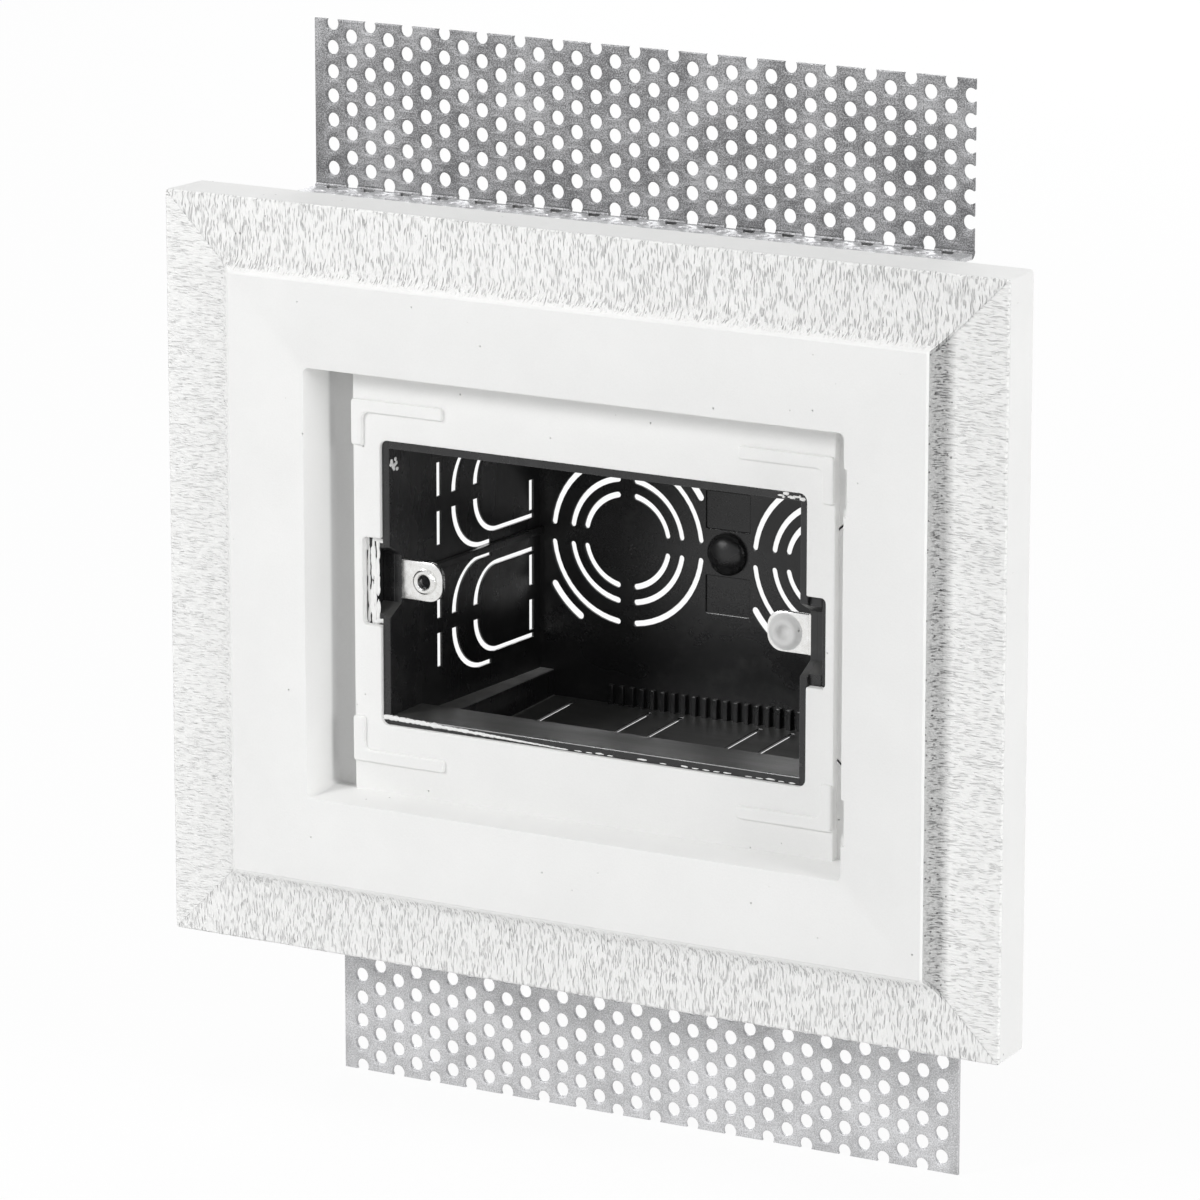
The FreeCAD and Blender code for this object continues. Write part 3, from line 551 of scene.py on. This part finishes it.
def casting_ring(half, corner, y, notched=False, relief=0.0):
    """Points round a rounded rectangle, with stations kept in step from ring to ring."""
    wide, high = half[0] - corner, half[1] - corner
    level = [i / 45 for i in range(1, 45)]
    points = []
    points += arc((-wide, -high), corner, 180, 270, 6)
    points += [(-wide + 2 * wide * t, -half[1]) for t in level]
    points += arc((wide, -high), corner, 270, 360, 6)
    points += side_stations(half, corner, notched, relief)
    points += arc((wide, high), corner, 0, 90, 6)
    points += [(wide - 2 * wide * t, half[1]) for t in level]
    points += arc((-wide, high), corner, 90, 180, 6)
    points += [(-x, z) for x, z in reversed(side_stations(half, corner, notched, 0.0))]
    return [(x, y, z) for x, z in points]


def casting_rings():
    """The casting's section as a closed run of rings, from the opening's back edge round to its front."""
    def inset(half, amount):
        return (half[0] - amount, half[1] - amount)

    def wall(y):
        down = y - PLATFORM_Y
        return tuple(h - down * math.tan(d) for h, d in zip(RECESS_HALF, RECESS_DRAFT))

    behind = (FRAME_HALF[0] - FRAME_TAPER, FRAME_HALF[1])
    rings = [
        casting_ring(OPENING_HALF, OPENING_CORNER, SLAB_BACK_Y, True),
        casting_ring(inset(behind, BACK_CHAMFER), 0.7, SLAB_BACK_Y),
        casting_ring(behind, 0.8, SLAB_BACK_Y - BACK_CHAMFER),
        casting_ring(FRAME_HALF, 0.8, BAND_Y + FRONT_CHAMFER),
        casting_ring(inset(FRAME_HALF, FRONT_CHAMFER), 0.7, BAND_Y),
    ]
    # The platform's hollow edge, with a blunt top.
    rise = BAND_Y - PLATFORM_Y
    steepest = math.acos(1 - rise / COVE_RADIUS)
    run = COVE_RADIUS * math.sin(steepest)
    for i in range(COVE_STEPS + 1):
        turn = steepest * i / COVE_STEPS
        out = run - COVE_RADIUS * math.sin(turn)
        blunt = 0.4 if i == COVE_STEPS else 0
        depth = BAND_Y - COVE_RADIUS * (1 - math.cos(turn)) + blunt
        rings.append(casting_ring(inset(PLATFORM_HALF, -out), 0.6, depth))
    rings.append(casting_ring(inset(PLATFORM_HALF, 0.45), 0.4, PLATFORM_Y))
    # The recess's edge and wall, and the rounded groove at the wall's foot.
    rings.append(casting_ring(inset(RECESS_HALF, -0.35), 1.6, PLATFORM_Y, relief=SEAT_RELIEF))
    rings.append(casting_ring(inset(RECESS_HALF, -0.08), 1.4, PLATFORM_Y + 0.08, relief=SEAT_RELIEF))
    rings.append(casting_ring(wall(PLATFORM_Y + 0.35), 1.2, PLATFORM_Y + 0.35, relief=SEAT_RELIEF))
    foot = wall(GROOVE_Y)
    relief = SEAT_RELIEF + wall(PLATFORM_Y)[0] - foot[0]
    middle = foot[0] - GROOVE_FILLET / math.tan((math.pi / 2 + RECESS_DRAFT[0]) / 2)
    for degrees in (87, 72, 58, 43, 29, 14, 0):
        turn = math.radians(degrees)
        y = GROOVE_Y - GROOVE_FILLET * (1 - math.cos(turn))
        out = middle + GROOVE_FILLET * math.sin(turn)
        rings.append(casting_ring((out, wall(y)[1]), 1.0, y, relief=relief))
    rings.append(casting_ring(OPENING_HALF, OPENING_CORNER, GROOVE_Y, True))
    return rings


def recess_floor():
    """The raised floor between the two grooves, cut out for the box's mouth and lugs."""
    wide, high = OPENING_HALF
    reach = wide + NOTCH_REACH
    mouth = [(-wide, -high, OPENING_CORNER), (wide, -high, OPENING_CORNER), (wide, -NOTCH_HALF, 0.4),
             (reach, -NOTCH_HALF, 1.0), (reach, NOTCH_HALF, 1.0), (wide, NOTCH_HALF, 0.4),
             (wide, high, OPENING_CORNER), (-wide, high, OPENING_CORNER), (-wide, NOTCH_HALF, 0.4),
             (-reach, NOTCH_HALF, 1.0), (-reach, -NOTCH_HALF, 1.0), (-wide, -NOTCH_HALF, 0.4)]
    tall = RECESS_HALF[1] - 0.3
    thick = GROOVE_Y - FLOOR_Y + FLOOR_LAP
    return plate(rectangle(-SEAT_SPAN[0], SEAT_SPAN[0], -tall, tall), [rounded(mouth)], thick, 0.3)


def worn(x, y, z):
    """A point of the casting, moved in where an outer edge is nicked or the front is uneven."""
    spot = Vector((x, y, z))
    edge = max(abs(x) - FRAME_HALF[0], abs(z) - FRAME_HALF[1])
    nick = NICK_DEPTH * max(0.0, noise.noise(spot * 0.45) - 0.15) if edge > -0.8 else 0.0
    uneven = UNEVEN_DEPTH * abs(noise.noise(spot * 0.12)) if y < BAND_Y + 0.5 else 0.0
    return (x * (1 - nick / 90), y + uneven, z * (1 - nick / 70))


def casting(material):
    """The plaster frame with softened, slightly nicked edges and its four seats."""
    piece = Piece("plaster_casting")
    bm = bmesh.new()
    loops = [[bm.verts.new(worn(*point)) for point in ring] for ring in casting_rings()]
    for first, second in zip(loops, loops[1:] + loops[:1]):
        for i in range(len(first)):
            j = (i + 1) % len(first)
            bm.faces.new((first[i], first[j], second[j], second[i]))
    piece.add(bm)
    piece.add(recess_floor(), axes((0, (FLOOR_Y + GROOVE_Y + FLOOR_LAP) / 2, 0), *FACING))
    for side in (-1, 1):
        for end in (-1, 1):
            out_x, out_z = side * SEAT_SPAN[0], end * SEAT_SPAN[1]
            in_x, in_z = out_x - side * SEAT_WIDTH, out_z - end * SEAT_WIDTH
            tip_x, tip_z = out_x - side * SEAT_ARMS[0], out_z - end * SEAT_ARMS[1]
            loop = rounded([(out_x, out_z, 0.7), (tip_x, out_z, 0.6), (tip_x, in_z, 0.6),
                            (in_x, in_z, 1.5), (in_x, tip_z, 0.6), (out_x, tip_z, 0.6)])
            seat = plate(loop, [], SEAT_RISE + SEAT_LAP, 0.4)
            piece.add(seat, axes((0, FLOOR_Y + SEAT_LAP / 2 - SEAT_RISE / 2, 0), *FACING))
    piece.make(material, "plaster_frame", sharp=20)


def curved_slot(radius, width, start, stop):
    """A slot along an arc about the origin, with rounded ends and angles in degrees."""
    half = width / 2
    first, last = arc((0, 0), radius, start, stop, 1)
    loop = arc((0, 0), radius + half, start, stop, 12)
    loop += arc(last, half, stop, stop + 180, 6)[1:-1]
    loop += arc((0, 0), radius - half, stop, start, 12)
    loop += arc(first, half, start + 180, start + 360, 6)[1:-1]
    return loop


def ring_slits(centre):
    """The three rings of one round knock-out, each in four quarters between its bridges."""
    slits = []
    for radius in RING_RADII:
        gap = math.degrees(math.asin((BRIDGE + RING_SLIT) / 2 / radius))
        quarter = curved_slot(radius, RING_SLIT, gap, 90 - gap)
        slits += [turned(quarter, turn, centre) for turn in (0, 90, 180, 270)]
    short = curved_slot(CORNER_SLIT_RADIUS, SLIT, 225 - CORNER_SLIT_SPREAD, 225 + CORNER_SLIT_SPREAD)
    return slits + [turned(short, turn, centre) for turn in (0, 180)]


def arch_slits(across, with_bars):
    """One arched knock-out as loops of (depth, across): nested hooks on both sides, and bars if asked."""
    slits = []
    for sign in (-1, 1):
        for radius, front, back in (ARCH, OUTER_ARCH):
            foot = BRIDGE / 2
            bend = radius - foot
            hook = []
            # The front of the hook is wider than its leg, so its two edges are quarter ellipses.
            for grow in (1, -1):
                wide, high = bend + grow * ARCH_FRONT / 2, bend + grow * ARCH_LEG / 2
                edge = [(front + bend + wide * c, foot + high * s) for c, s in arc((0, 0), 1, 180, 90, 12)]
                hook += (edge + [(back, foot + high)])[::grow]
            slits.append([(depth, across + sign * side) for depth, side in hook])
        if with_bars:
            front_bar = (BAR_DEPTH - SLIT / 2, BAR_DEPTH + SLIT / 2, BAR_HALF)
            back_bar = (ARCH[2] - SLIT, ARCH[2], ARCH[0] - 1.2)
            for first, last, tip in (front_bar, back_bar):
                loop = [(first, BRIDGE / 2), (last, BRIDGE / 2), (last, tip), (first, tip)]
                slits.append([(depth, across + sign * side) for depth, side in loop])
    return slits


def box_walls(piece):
    """The chamber's five walls with their slit knock-outs."""
    edge = 0.22
    outside = (BACK_HALF[0] + WALL, BACK_HALF[1] + WALL)
    wide, high = PANEL_HALF
    panels = [rectangle(-wide, wide, sign * PANEL_Z - high, sign * PANEL_Z + high, 0.3) for sign in (-1, 1)]
    slits = ring_slits((-RING_X, 0)) + ring_slits((RING_X, 0)) + panels
    border = rectangle(-outside[0], outside[0], -outside[1], outside[1], 2.0)
    back = plate(border, slits, SKIN, 0.15)
    piece.add(back, axes((0, BACK_Y + SKIN / 2, 0), *FACING))
    inside = rectangle(-BACK_HALF[0], BACK_HALF[0], -BACK_HALF[1], BACK_HALF[1])
    piece.add(plate(border, [inside], WALL, edge), axes((0, BACK_Y + WALL / 2, 0), *FACING))
    wide, high = wide + PANEL_MARGIN, high + PANEL_MARGIN
    for sign in (-1, 1):
        floor = rectangle(-wide, wide, sign * PANEL_Z - high, sign * PANEL_Z + high)
        piece.add(plate(floor, [], SKIN, 0.1), axes((0, BACK_Y + 0.7, 0), *FACING))
    length = (BACK_Y + WALL - 0.1 - SHOULDER_Y) / math.cos(DRAFT)
    start = CHAMBER_Y - SHOULDER_Y
    for sign in (-1, 1):
        slant = (-sign * math.sin(DRAFT), math.cos(DRAFT), 0)
        wall = [(-start, -INNER_HALF[1] - WALL), (length - start, -outside[1]),
                (length - start, outside[1]), (-start, INNER_HALF[1] + WALL)]
        slits = arch_slits(-SIDE_ARCH_Z, True) + arch_slits(SIDE_ARCH_Z, True)
        slits = [[(depth - CHAMBER_Y, z) for depth, z in slit] for slit in slits]
        middle = (sign * (INNER_HALF[0] + SKIN / 2), CHAMBER_Y, 0)
        piece.add(plate(wall, slits, SKIN, 0.15), axes(middle, slant, (0, 0, 1)))
        slope = (0, math.cos(DRAFT), -sign * math.sin(DRAFT))
        floor = [(-OPENING_HALF[0], -start), (OPENING_HALF[0], -start),
                 (outside[0], length - start), (-outside[0], length - start)]
        slits = []
        for step in (-1, 0, 1):
            arches = arch_slits(step * FLOOR_ARCH_X, False)
            slits += [[(x, depth - CHAMBER_Y) for depth, x in slit] for slit in arches]
        middle = (0, CHAMBER_Y, sign * (INNER_HALF[1] + SKIN / 2))
        piece.add(plate(floor, slits, SKIN, 0.15), axes(middle, (1, 0, 0), slope))


def box_collar(piece):
    """The shoulder, the collar with its sloped lug pockets, and the lugs."""
    edge = 0.25
    tall = INNER_HALF[1] + WALL
    shoulder = rectangle(-OPENING_HALF[0], OPENING_HALF[0], -tall, tall, 2.0)
    lap = 0.3
    wide = INNER_HALF[0] + lap
    mouth = rectangle(-wide, wide, -MOUTH_HALF - lap, MOUTH_HALF + lap)
    piece.add(plate(shoulder, [mouth], WALL, edge), axes((0, SHOULDER_Y + WALL / 2, 0), *FACING))
    for sign in (-1, 1):
        end = plate(rectangle(-wide, wide, RIM_Y, CHAMBER_Y), [], WALL, edge)
        piece.add(end, axes((0, 0, sign * (MOUTH_HALF + WALL / 2)), *LEVEL))
        funnel = [(0, LUG_FLOOR_HALF), (0, -LUG_FLOOR_HALF)]
        rim = OPENING_HALF[1]
        side = [(RIM_Y, -rim), (CHAMBER_Y, -rim), (CHAMBER_Y, rim), (RIM_Y, rim), (RIM_Y, LUG_MOUTH_HALF)]
        side += funnel + [(RIM_Y, -LUG_MOUTH_HALF)]
        across = sign * (INNER_HALF[0] + WALL / 2)
        piece.add(plate(side, [], WALL, edge), axes((across, 0, 0), *SIDEWAYS))
        slope = (LUG_MOUTH_HALF - LUG_FLOOR_HALF) / -RIM_Y
        mouth_half = LUG_FLOOR_HALF - LUG_FRONT_Y * slope
        lug = [(LUG_FRONT_Y, -NOTCH_HALF), (SHOULDER_Y, -NOTCH_HALF), (SHOULDER_Y, NOTCH_HALF)]
        lug += [(LUG_FRONT_Y, NOTCH_HALF), (LUG_FRONT_Y, mouth_half)] + funnel + [(LUG_FRONT_Y, -mouth_half)]
        first = OPENING_HALF[0] - lap
        last = OPENING_HALF[0] + NOTCH_REACH
        middle = sign * (first + last - LUG_WALL) / 2
        piece.add(plate(lug, [], last - LUG_WALL - first, edge), axes((middle, 0, 0), *SIDEWAYS))
        cap = rectangle(LUG_FRONT_Y, SHOULDER_Y, -NOTCH_HALF, NOTCH_HALF)
        middle = sign * (last - LUG_WALL / 2)
        piece.add(plate(cap, [], LUG_WALL, edge), axes((middle, 0, 0), *SIDEWAYS))


def box_details(piece):
    """Corner rails, wall ribs, the domed boss and the row of teeth."""
    shelf = BACK_HALF[1] - RAIL_HEIGHT
    inside = BACK_HALF[0] - RAIL_WIDTH
    for side in (-1, 1):
        for end in (-1, 1):
            across = sorted((side * inside, side * RAIL_OUT[0]))
            upward = sorted((end * shelf, end * RAIL_OUT[1]))
            low = (across[0], CHAMBER_Y - 0.5, upward[0])
            high = (across[1], BACK_Y + 0.5, upward[1])
            rail = block(low, high, 0.35)
            # The rail's hidden sides follow the draft of the walls.
            for vertex in rail.verts:
                narrower = DRAFT_SHIFT * (vertex.co.y - CHAMBER_Y) / (BACK_Y - CHAMBER_Y)
                if abs(vertex.co.x) > inside + 2:
                    vertex.co.x -= side * max(0.0, narrower - 0.6)
                if abs(vertex.co.z) > shelf + 3:
                    vertex.co.z -= end * max(0.0, narrower - 1.0)
            piece.add(rail)
        slant = (-side * math.sin(DRAFT), math.cos(DRAFT), 0)
        rib = block((0, -0.8, -0.8), ((BACK_Y - CHAMBER_Y) / math.cos(DRAFT), 0.8, 0.8), 0.25)
        piece.add(rib, axes((side * (INNER_HALF[0] - 0.1), CHAMBER_Y, 0), slant, (0, 0, 1)))
    dome = [(BOSS_RADIUS, -0.5)]
    dome += [(BOSS_RADIUS * c, BOSS_STEP + BOSS_RISE * s) for c, s in arc((0, 0), 1, 0, 84, 12)]
    dome.append((0, BOSS_STEP + BOSS_RISE))
    piece.add(lathe(dome, 48), axes((0, BACK_Y, 0), *FACING))
    for i in range(TEETH):
        middle = TOOTH_PITCH * (i - (TEETH - 1) / 2)
        low = (middle - TOOTH_HALF, BACK_Y - 1.0, -BACK_HALF[1] - 0.5)
        high = (middle + TOOTH_HALF, BACK_Y + 0.4, TOOTH_TOP_Z)
        piece.add(block(low, high, 0.2))


def moulded_box(material):
    """The black box, assembled from its walls into one moulding."""
    piece = Piece("moulded_box")
    box_walls(piece)
    box_collar(piece)
    box_details(piece)
    piece.make(material, "back_box", sharp=20)


def screw_strip(side, sign, material):
    """One bent zinc strip with a formed collar round its screw hole."""
    piece = Piece("screw_strip_" + side)
    straight = TAB_BEND - TAB_CURVE
    outline = rounded([(TAB_TIP, -TAB_HALF, TAB_TIP_RADIUS), (straight, -TAB_HALF, 0),
                       (straight, TAB_HALF, 0), (TAB_TIP, TAB_HALF, TAB_TIP_RADIUS)], 8)
    hole = circle((SCREW_X, 0), SCREW_RADIUS, 32)
    mirror = Matrix.Diagonal((sign, 1, 1, 1))
    strip = plate(outline, [hole], TAB_THICK, 0.15)
    piece.add(strip, mirror @ axes((0, TAB_THICK / 2, 0), *FACING))
    inner, outer, top = SCREW_RADIUS, COLLAR_RADIUS, COLLAR_HEIGHT
    collar = [(inner, -0.6), (inner, top - 0.25), (inner + 0.25, top),
              (outer - 0.5, top), (outer - 0.12, top - 0.3), (outer, -0.2)]
    piece.add(lathe(collar, 40), mirror @ axes((SCREW_X, 0, 0), *FACING))
    centre = (straight, TAB_CURVE)
    section = arc(centre, TAB_CURVE, -90, 0, 6) + [(TAB_BEND, TAB_LEG), (TAB_BEND - TAB_THICK, TAB_LEG)]
    section += arc(centre, TAB_CURVE - TAB_THICK, 0, -90, 4)
    piece.add(drawn([(x, y, -TAB_HALF) for x, y in section], (0, 0, 2 * TAB_HALF)), mirror)
    piece.make(material, "screw_tab_" + side)


def hole_columns(left, right):
    """The X of each column of punched holes, and whether it is a staggered one."""
    columns = []
    x = left + HOLE_SIDE
    while x < right:
        columns.append((x, len(columns) % 2))
        x += HOLE_STEP
    return columns


def fold_strip(ends, turn_y, foot, start, stop):
    """Part of the upper wing's bend between two X values and two angles, as a bmesh."""
    section = arc((turn_y, foot), BEND_OUTER, start, stop, 3) + arc((turn_y, foot), foot, stop, start, 3)
    return drawn([(ends[0], y, WING_Z + z) for y, z in section], (ends[1] - ends[0], 0, 0))


def perforated_wing(side, sign, material):
    """A folded strip of sheet with staggered round holes, some cut by its edges."""
    left, right = WING_SPANS[side]
    top = WING_TOP - WING_Z
    foot = BEND_OUTER - SHEET
    bites_top = []
    bites_right = []
    bites_foot = []
    bites_fold = []
    holes = []
    for x, stagger in hole_columns(left, right):
        height = top - HOLE_EDGE - stagger * HOLE_PITCH / 2
        while height - HOLE_RADIUS > foot + 0.25:
            if height + HOLE_RADIUS > top:
                bites_top.append((x, height))
            elif x + HOLE_RADIUS > right:
                bites_right.append((x, height))
            else:
                holes.append(circle((x, height), HOLE_RADIUS, 20))
            height -= HOLE_PITCH
        if x + HOLE_RADIUS < right - HOLE_MARGIN:
            (bites_foot if stagger else bites_fold).append((x, height))
    outline = [(left, foot)]
    for x, height in bites_foot:
        turn = math.degrees(math.asin((foot - height) / HOLE_RADIUS))
        outline += arc((x, height), HOLE_RADIUS, 180 - turn, turn, 14)
    outline.append((right, foot))
    for x, height in sorted(bites_right, key=lambda bite: bite[1]):
        turn = math.degrees(math.acos((right - x) / HOLE_RADIUS))
        outline += arc((x, height), HOLE_RADIUS, 360 - turn, turn, 14)
    outline.append((right, top))
    for x, height in reversed(bites_top):
        turn = math.degrees(math.asin((top - height) / HOLE_RADIUS))
        outline += arc((x, height), HOLE_RADIUS, turn, -180 - turn, 14)
    outline.append((left, top))
    piece = Piece("%s_perforated_sheet" % side)
    mirror = Matrix.Diagonal((1, 1, sign, 1))
    sheet = plate(outline, holes, SHEET, 0.2)
    piece.add(sheet, mirror @ axes((0, WING_Y + SHEET / 2, WING_Z), *FACING))
    turn_y = WING_Y - foot
    # Holes that fall on the bend leave gaps in its upper or lower half.
    for bites, start, stop in ((bites_foot, 0, -45), (bites_fold, -45, -90)):
        spans = [left] + [x + way * HOLE_RADIUS * 0.9 for x, height in bites for way in (-1, 1)] + [right]
        for ends in zip(spans[::2], spans[1::2]):
            piece.add(fold_strip(ends, turn_y, foot, start, stop), mirror)
    # The flange carries the rows on, as far as the back of the casting.
    holes = []
    outline = [(left, FLANGE_END_Y), (right, FLANGE_END_Y), (right, turn_y)]
    row = turn_y - 0.1
    for x, stagger in reversed(hole_columns(left, right)):
        if x + HOLE_RADIUS > right - HOLE_MARGIN:
            continue
        if not stagger:
            outline += arc((x, row), HOLE_RADIUS, 4, -184, 14)
        depth = row - (HOLE_PITCH / 2 if stagger else HOLE_PITCH)
        while depth - HOLE_RADIUS > 0.8:
            holes.append(circle((x, depth), HOLE_RADIUS, 20))
            depth -= HOLE_PITCH
    outline.append((left, turn_y))
    flange = plate(outline, holes, SHEET, 0.2)
    piece.add(flange, mirror @ axes((0, 0, WING_Z - SHEET / 2), *LEVEL))
    piece.make(material, "%s_wing" % side)


def crumb(size, seed):
    """A small torn lump of plaster as a bmesh, stretched to a size."""
    bm = bmesh.new()
    bmesh.ops.create_icosphere(bm, subdivisions=2, radius=1)
    for vertex in bm.verts:
        vertex.co *= 1 + 0.45 * noise.noise(vertex.co * 1.7 + Vector((seed * 3.1, seed * 1.7, seed)))
        vertex.co = Vector([part * length for part, length in zip(vertex.co, size)])
    return bm


def residue(material):
    """Plaster left on the box from casting: smears at the rim, flecks, torn skins, the filled screw hole."""
    piece = Piece("plaster_residue")

    def leave(place, size, seed):
        piece.add(crumb(size, seed), Matrix.Translation(place))

    # A smear along the collar's lower rim, thick on the left and torn on the right.
    rim_low, rim_top = -MOUTH_HALF - 0.3, MOUTH_HALF + 1.2
    for i in range(34):
        t = i / 33
        thick = (0.62 - 0.45 * t) * (0.8 + 0.5 * abs(noise.noise(Vector((i * 0.37, 1.0, 2.0)))))
        leave((-48.6 + 42 * t, RIM_Y + 0.05, rim_low - 1.2 * t), (1.1, 0.3, thick), i)
    for i in range(22):
        x = -5.5 + 2.45 * i
        torn = noise.noise(Vector((x * 0.31, 4.0, 7.0)))
        if torn > -0.12:
            size = (0.9 + 0.8 * torn, 0.22, 0.14 + 0.2 * abs(torn))
            leave((x, RIM_Y + 0.1, rim_low - 1.15 + 0.35 * torn), size, 40 + i)
    # Flecks in the collar's upper corners.
    for i in range(9):
        height = 24.6 + 0.9 * math.sin(1.3 * i) - 0.25 * (i % 3)
        leave((-INNER_HALF[0], -3.9 + 0.3 * i, height), (0.16, 0.5, 0.42), 70 + i)
    for i in range(9):
        height = rim_top - 0.4 + 0.8 * noise.noise(Vector((i * 1.3, 2.0, 5.0)))
        size = (0.75 - 0.4 * (i % 2), 0.24, 0.22 + 0.08 * (i % 3))
        leave((43.0 + 0.6 * i, RIM_Y + 0.05, height), size, 90 + i)
    # Torn skins down the left lug's outer wall and along its two ends.
    for row, out in enumerate((0.5, 1.25, 2.0, 2.75)):
        for i in range(9):
            sway = noise.noise(Vector((row * 5.3, i * 0.41, 3.0)))
            torn = noise.noise(Vector((row * 2.7, i * 0.83, 8.0)))
            if torn < -0.3:
                continue
            across = -OPENING_HALF[0] - NOTCH_REACH + out + 0.7 * sway
            size = (0.36 + 0.3 * torn, 0.14, 1.7)
            leave((across, LUG_FRONT_Y, -7.6 + 1.9 * i + 0.6 * torn), size, 110 + 20 * row + i)
    for end in (-1, 1):
        for i in range(6):
            place = (-OPENING_HALF[0] + 0.4 - 0.5 * i, LUG_FRONT_Y, end * (8.2 + 0.1 * i))
            leave(place, (0.6, 0.18, 0.5), 180 + i + 10 * end)
    # The dished skin over the right tab's collar, just clear of the steel.
    skin = [(3.8, 0.02), (3.45, 0.2), (3.1, 0.5), (2.8, 0.76), (2.5, 0.9), (2.2, 0.94), (1.85, 0.88),
            (1.6, 0.74), (1.42, 0.56), (1.1, 0.1), (0.7, -0.2), (0.35, -0.34), (0, -0.38)]
    piece.add(lathe(skin, 36), axes((SCREW_X, 0, 0), *FACING))
    piece.make(material, sharp=80)


def surroundings():
    """A world that gives little light of its own and is bright where it is seen or mirrored."""
    world = bpy.data.worlds.new("studio")
    bpy.context.scene.world = world
    world.use_nodes = True
    sky = world.node_tree
    sky.nodes["Background"].inputs[0].default_value = (0.97, 0.98, 1.0, 1)
    rays = sky.nodes.new("ShaderNodeLightPath").outputs
    level = sky.nodes.new("ShaderNodeValue").outputs[0]
    level.default_value = 0.08
    for ray, more in (("Is Camera Ray", 0.9), ("Is Glossy Ray", 0.7), ("Is Transmission Ray", 0.9)):
        step = sky.nodes.new("ShaderNodeMath")
        step.operation = "MULTIPLY_ADD"
        step.inputs[1].default_value = more
        sky.links.new(rays[ray], step.inputs[0])
        sky.links.new(level, step.inputs[2])
        level = step.outputs[0]
    sky.links.new(level, sky.nodes["Background"].inputs[1])


def ground():
    """A pale floor at the part's foot, which glows where it is seen or mirrored."""
    bm = bmesh.new()
    bmesh.ops.create_grid(bm, x_segments=1, y_segments=1, size=6)
    mesh = bpy.data.meshes.new("floor")
    bm.to_mesh(mesh)
    bm.free()
    floor = bpy.data.objects.new("floor", mesh)
    floor.location.z = cad_bounds[0].z
    bpy.context.scene.collection.objects.link(floor)
    g = Graph("floor")
    path = g.add("LightPath").outputs
    mirrored = g.maths("MAXIMUM", path["Is Glossy Ray"], path["Is Transmission Ray"])
    seen = g.maths("MAXIMUM", path["Is Camera Ray"], mirrored)
    glow = g.add("Emission", {"Color": (1, 1, 1, 1), "Strength": 1.0})
    g.feed(g.shader, {"Base Color": (0.86, 0.86, 0.86, 1), "Roughness": 0.9})
    share = g.maths("MULTIPLY", seen, 0.94)
    blend = g.add("MixShader", {0: share, 1: g.shader.outputs[0], 2: glow.outputs[0]})
    g.feed(g.tree.nodes["Material Output"], {"Surface": blend.outputs[0]})
    mesh.materials.append(g.material)


def lights():
    """Five soft lamps round the part, each with its place, its size and its power."""
    lamps = {"key": ((-0.75, -1.16, 0.62), 0.35, 10.6), "fill": ((2.1, -0.3, 0.5), 0.9, 25.0),
             "front": ((0.8, -1.4, 0.9), 0.5, 4.0), "top": ((0.1, -0.12, 1.8), 1.2, 13.0),
             "rear": ((-0.5, 1.6, 0.7), 1.0, 12.0)}
    for name, (spot, size, power) in lamps.items():
        data = bpy.data.lights.new(name, "AREA")
        data.size = size
        data.energy = power
        lamp = bpy.data.objects.new(name, data)
        lamp.location = spot
        lamp.rotation_euler = Vector(spot).to_track_quat("Z", "Y").to_euler()
        bpy.context.scene.collection.objects.link(lamp)


def viewpoint():
    """The photograph's camera."""
    flat = math.cos(CAMERA_ELEVATION)
    cos, sin = math.cos(CAMERA_AZIMUTH), math.sin(CAMERA_AZIMUTH)
    back = Vector((sin * flat, -cos * flat, math.sin(CAMERA_ELEVATION)))
    right = Vector((cos, sin, 0))
    up = back.cross(right)
    data = bpy.data.cameras.new("camera")
    data.sensor_width = 36
    data.lens = CAMERA_FOCAL * data.sensor_width
    camera = bpy.data.objects.new("camera", data)
    camera.location = (back * CAMERA_DISTANCE - right * CAMERA_ASIDE[0] - up * CAMERA_ASIDE[1]) * MM
    camera.rotation_euler = Matrix((right, up, back)).transposed().to_euler()
    bpy.context.scene.collection.objects.link(camera)
    bpy.context.scene.camera = camera
    bpy.context.scene.view_settings.view_transform = "Standard"


plaster = plaster_material()
zinc = zinc_material()
galvanised = galvanised_material()
casting(plaster)
moulded_box(plastic_material())
screw_strip("left", -1, zinc)
screw_strip("right", 1, zinc)
perforated_wing("upper", 1, galvanised)
perforated_wing("lower", -1, galvanised)
residue(plaster)
surroundings()
ground()
lights()
viewpoint()
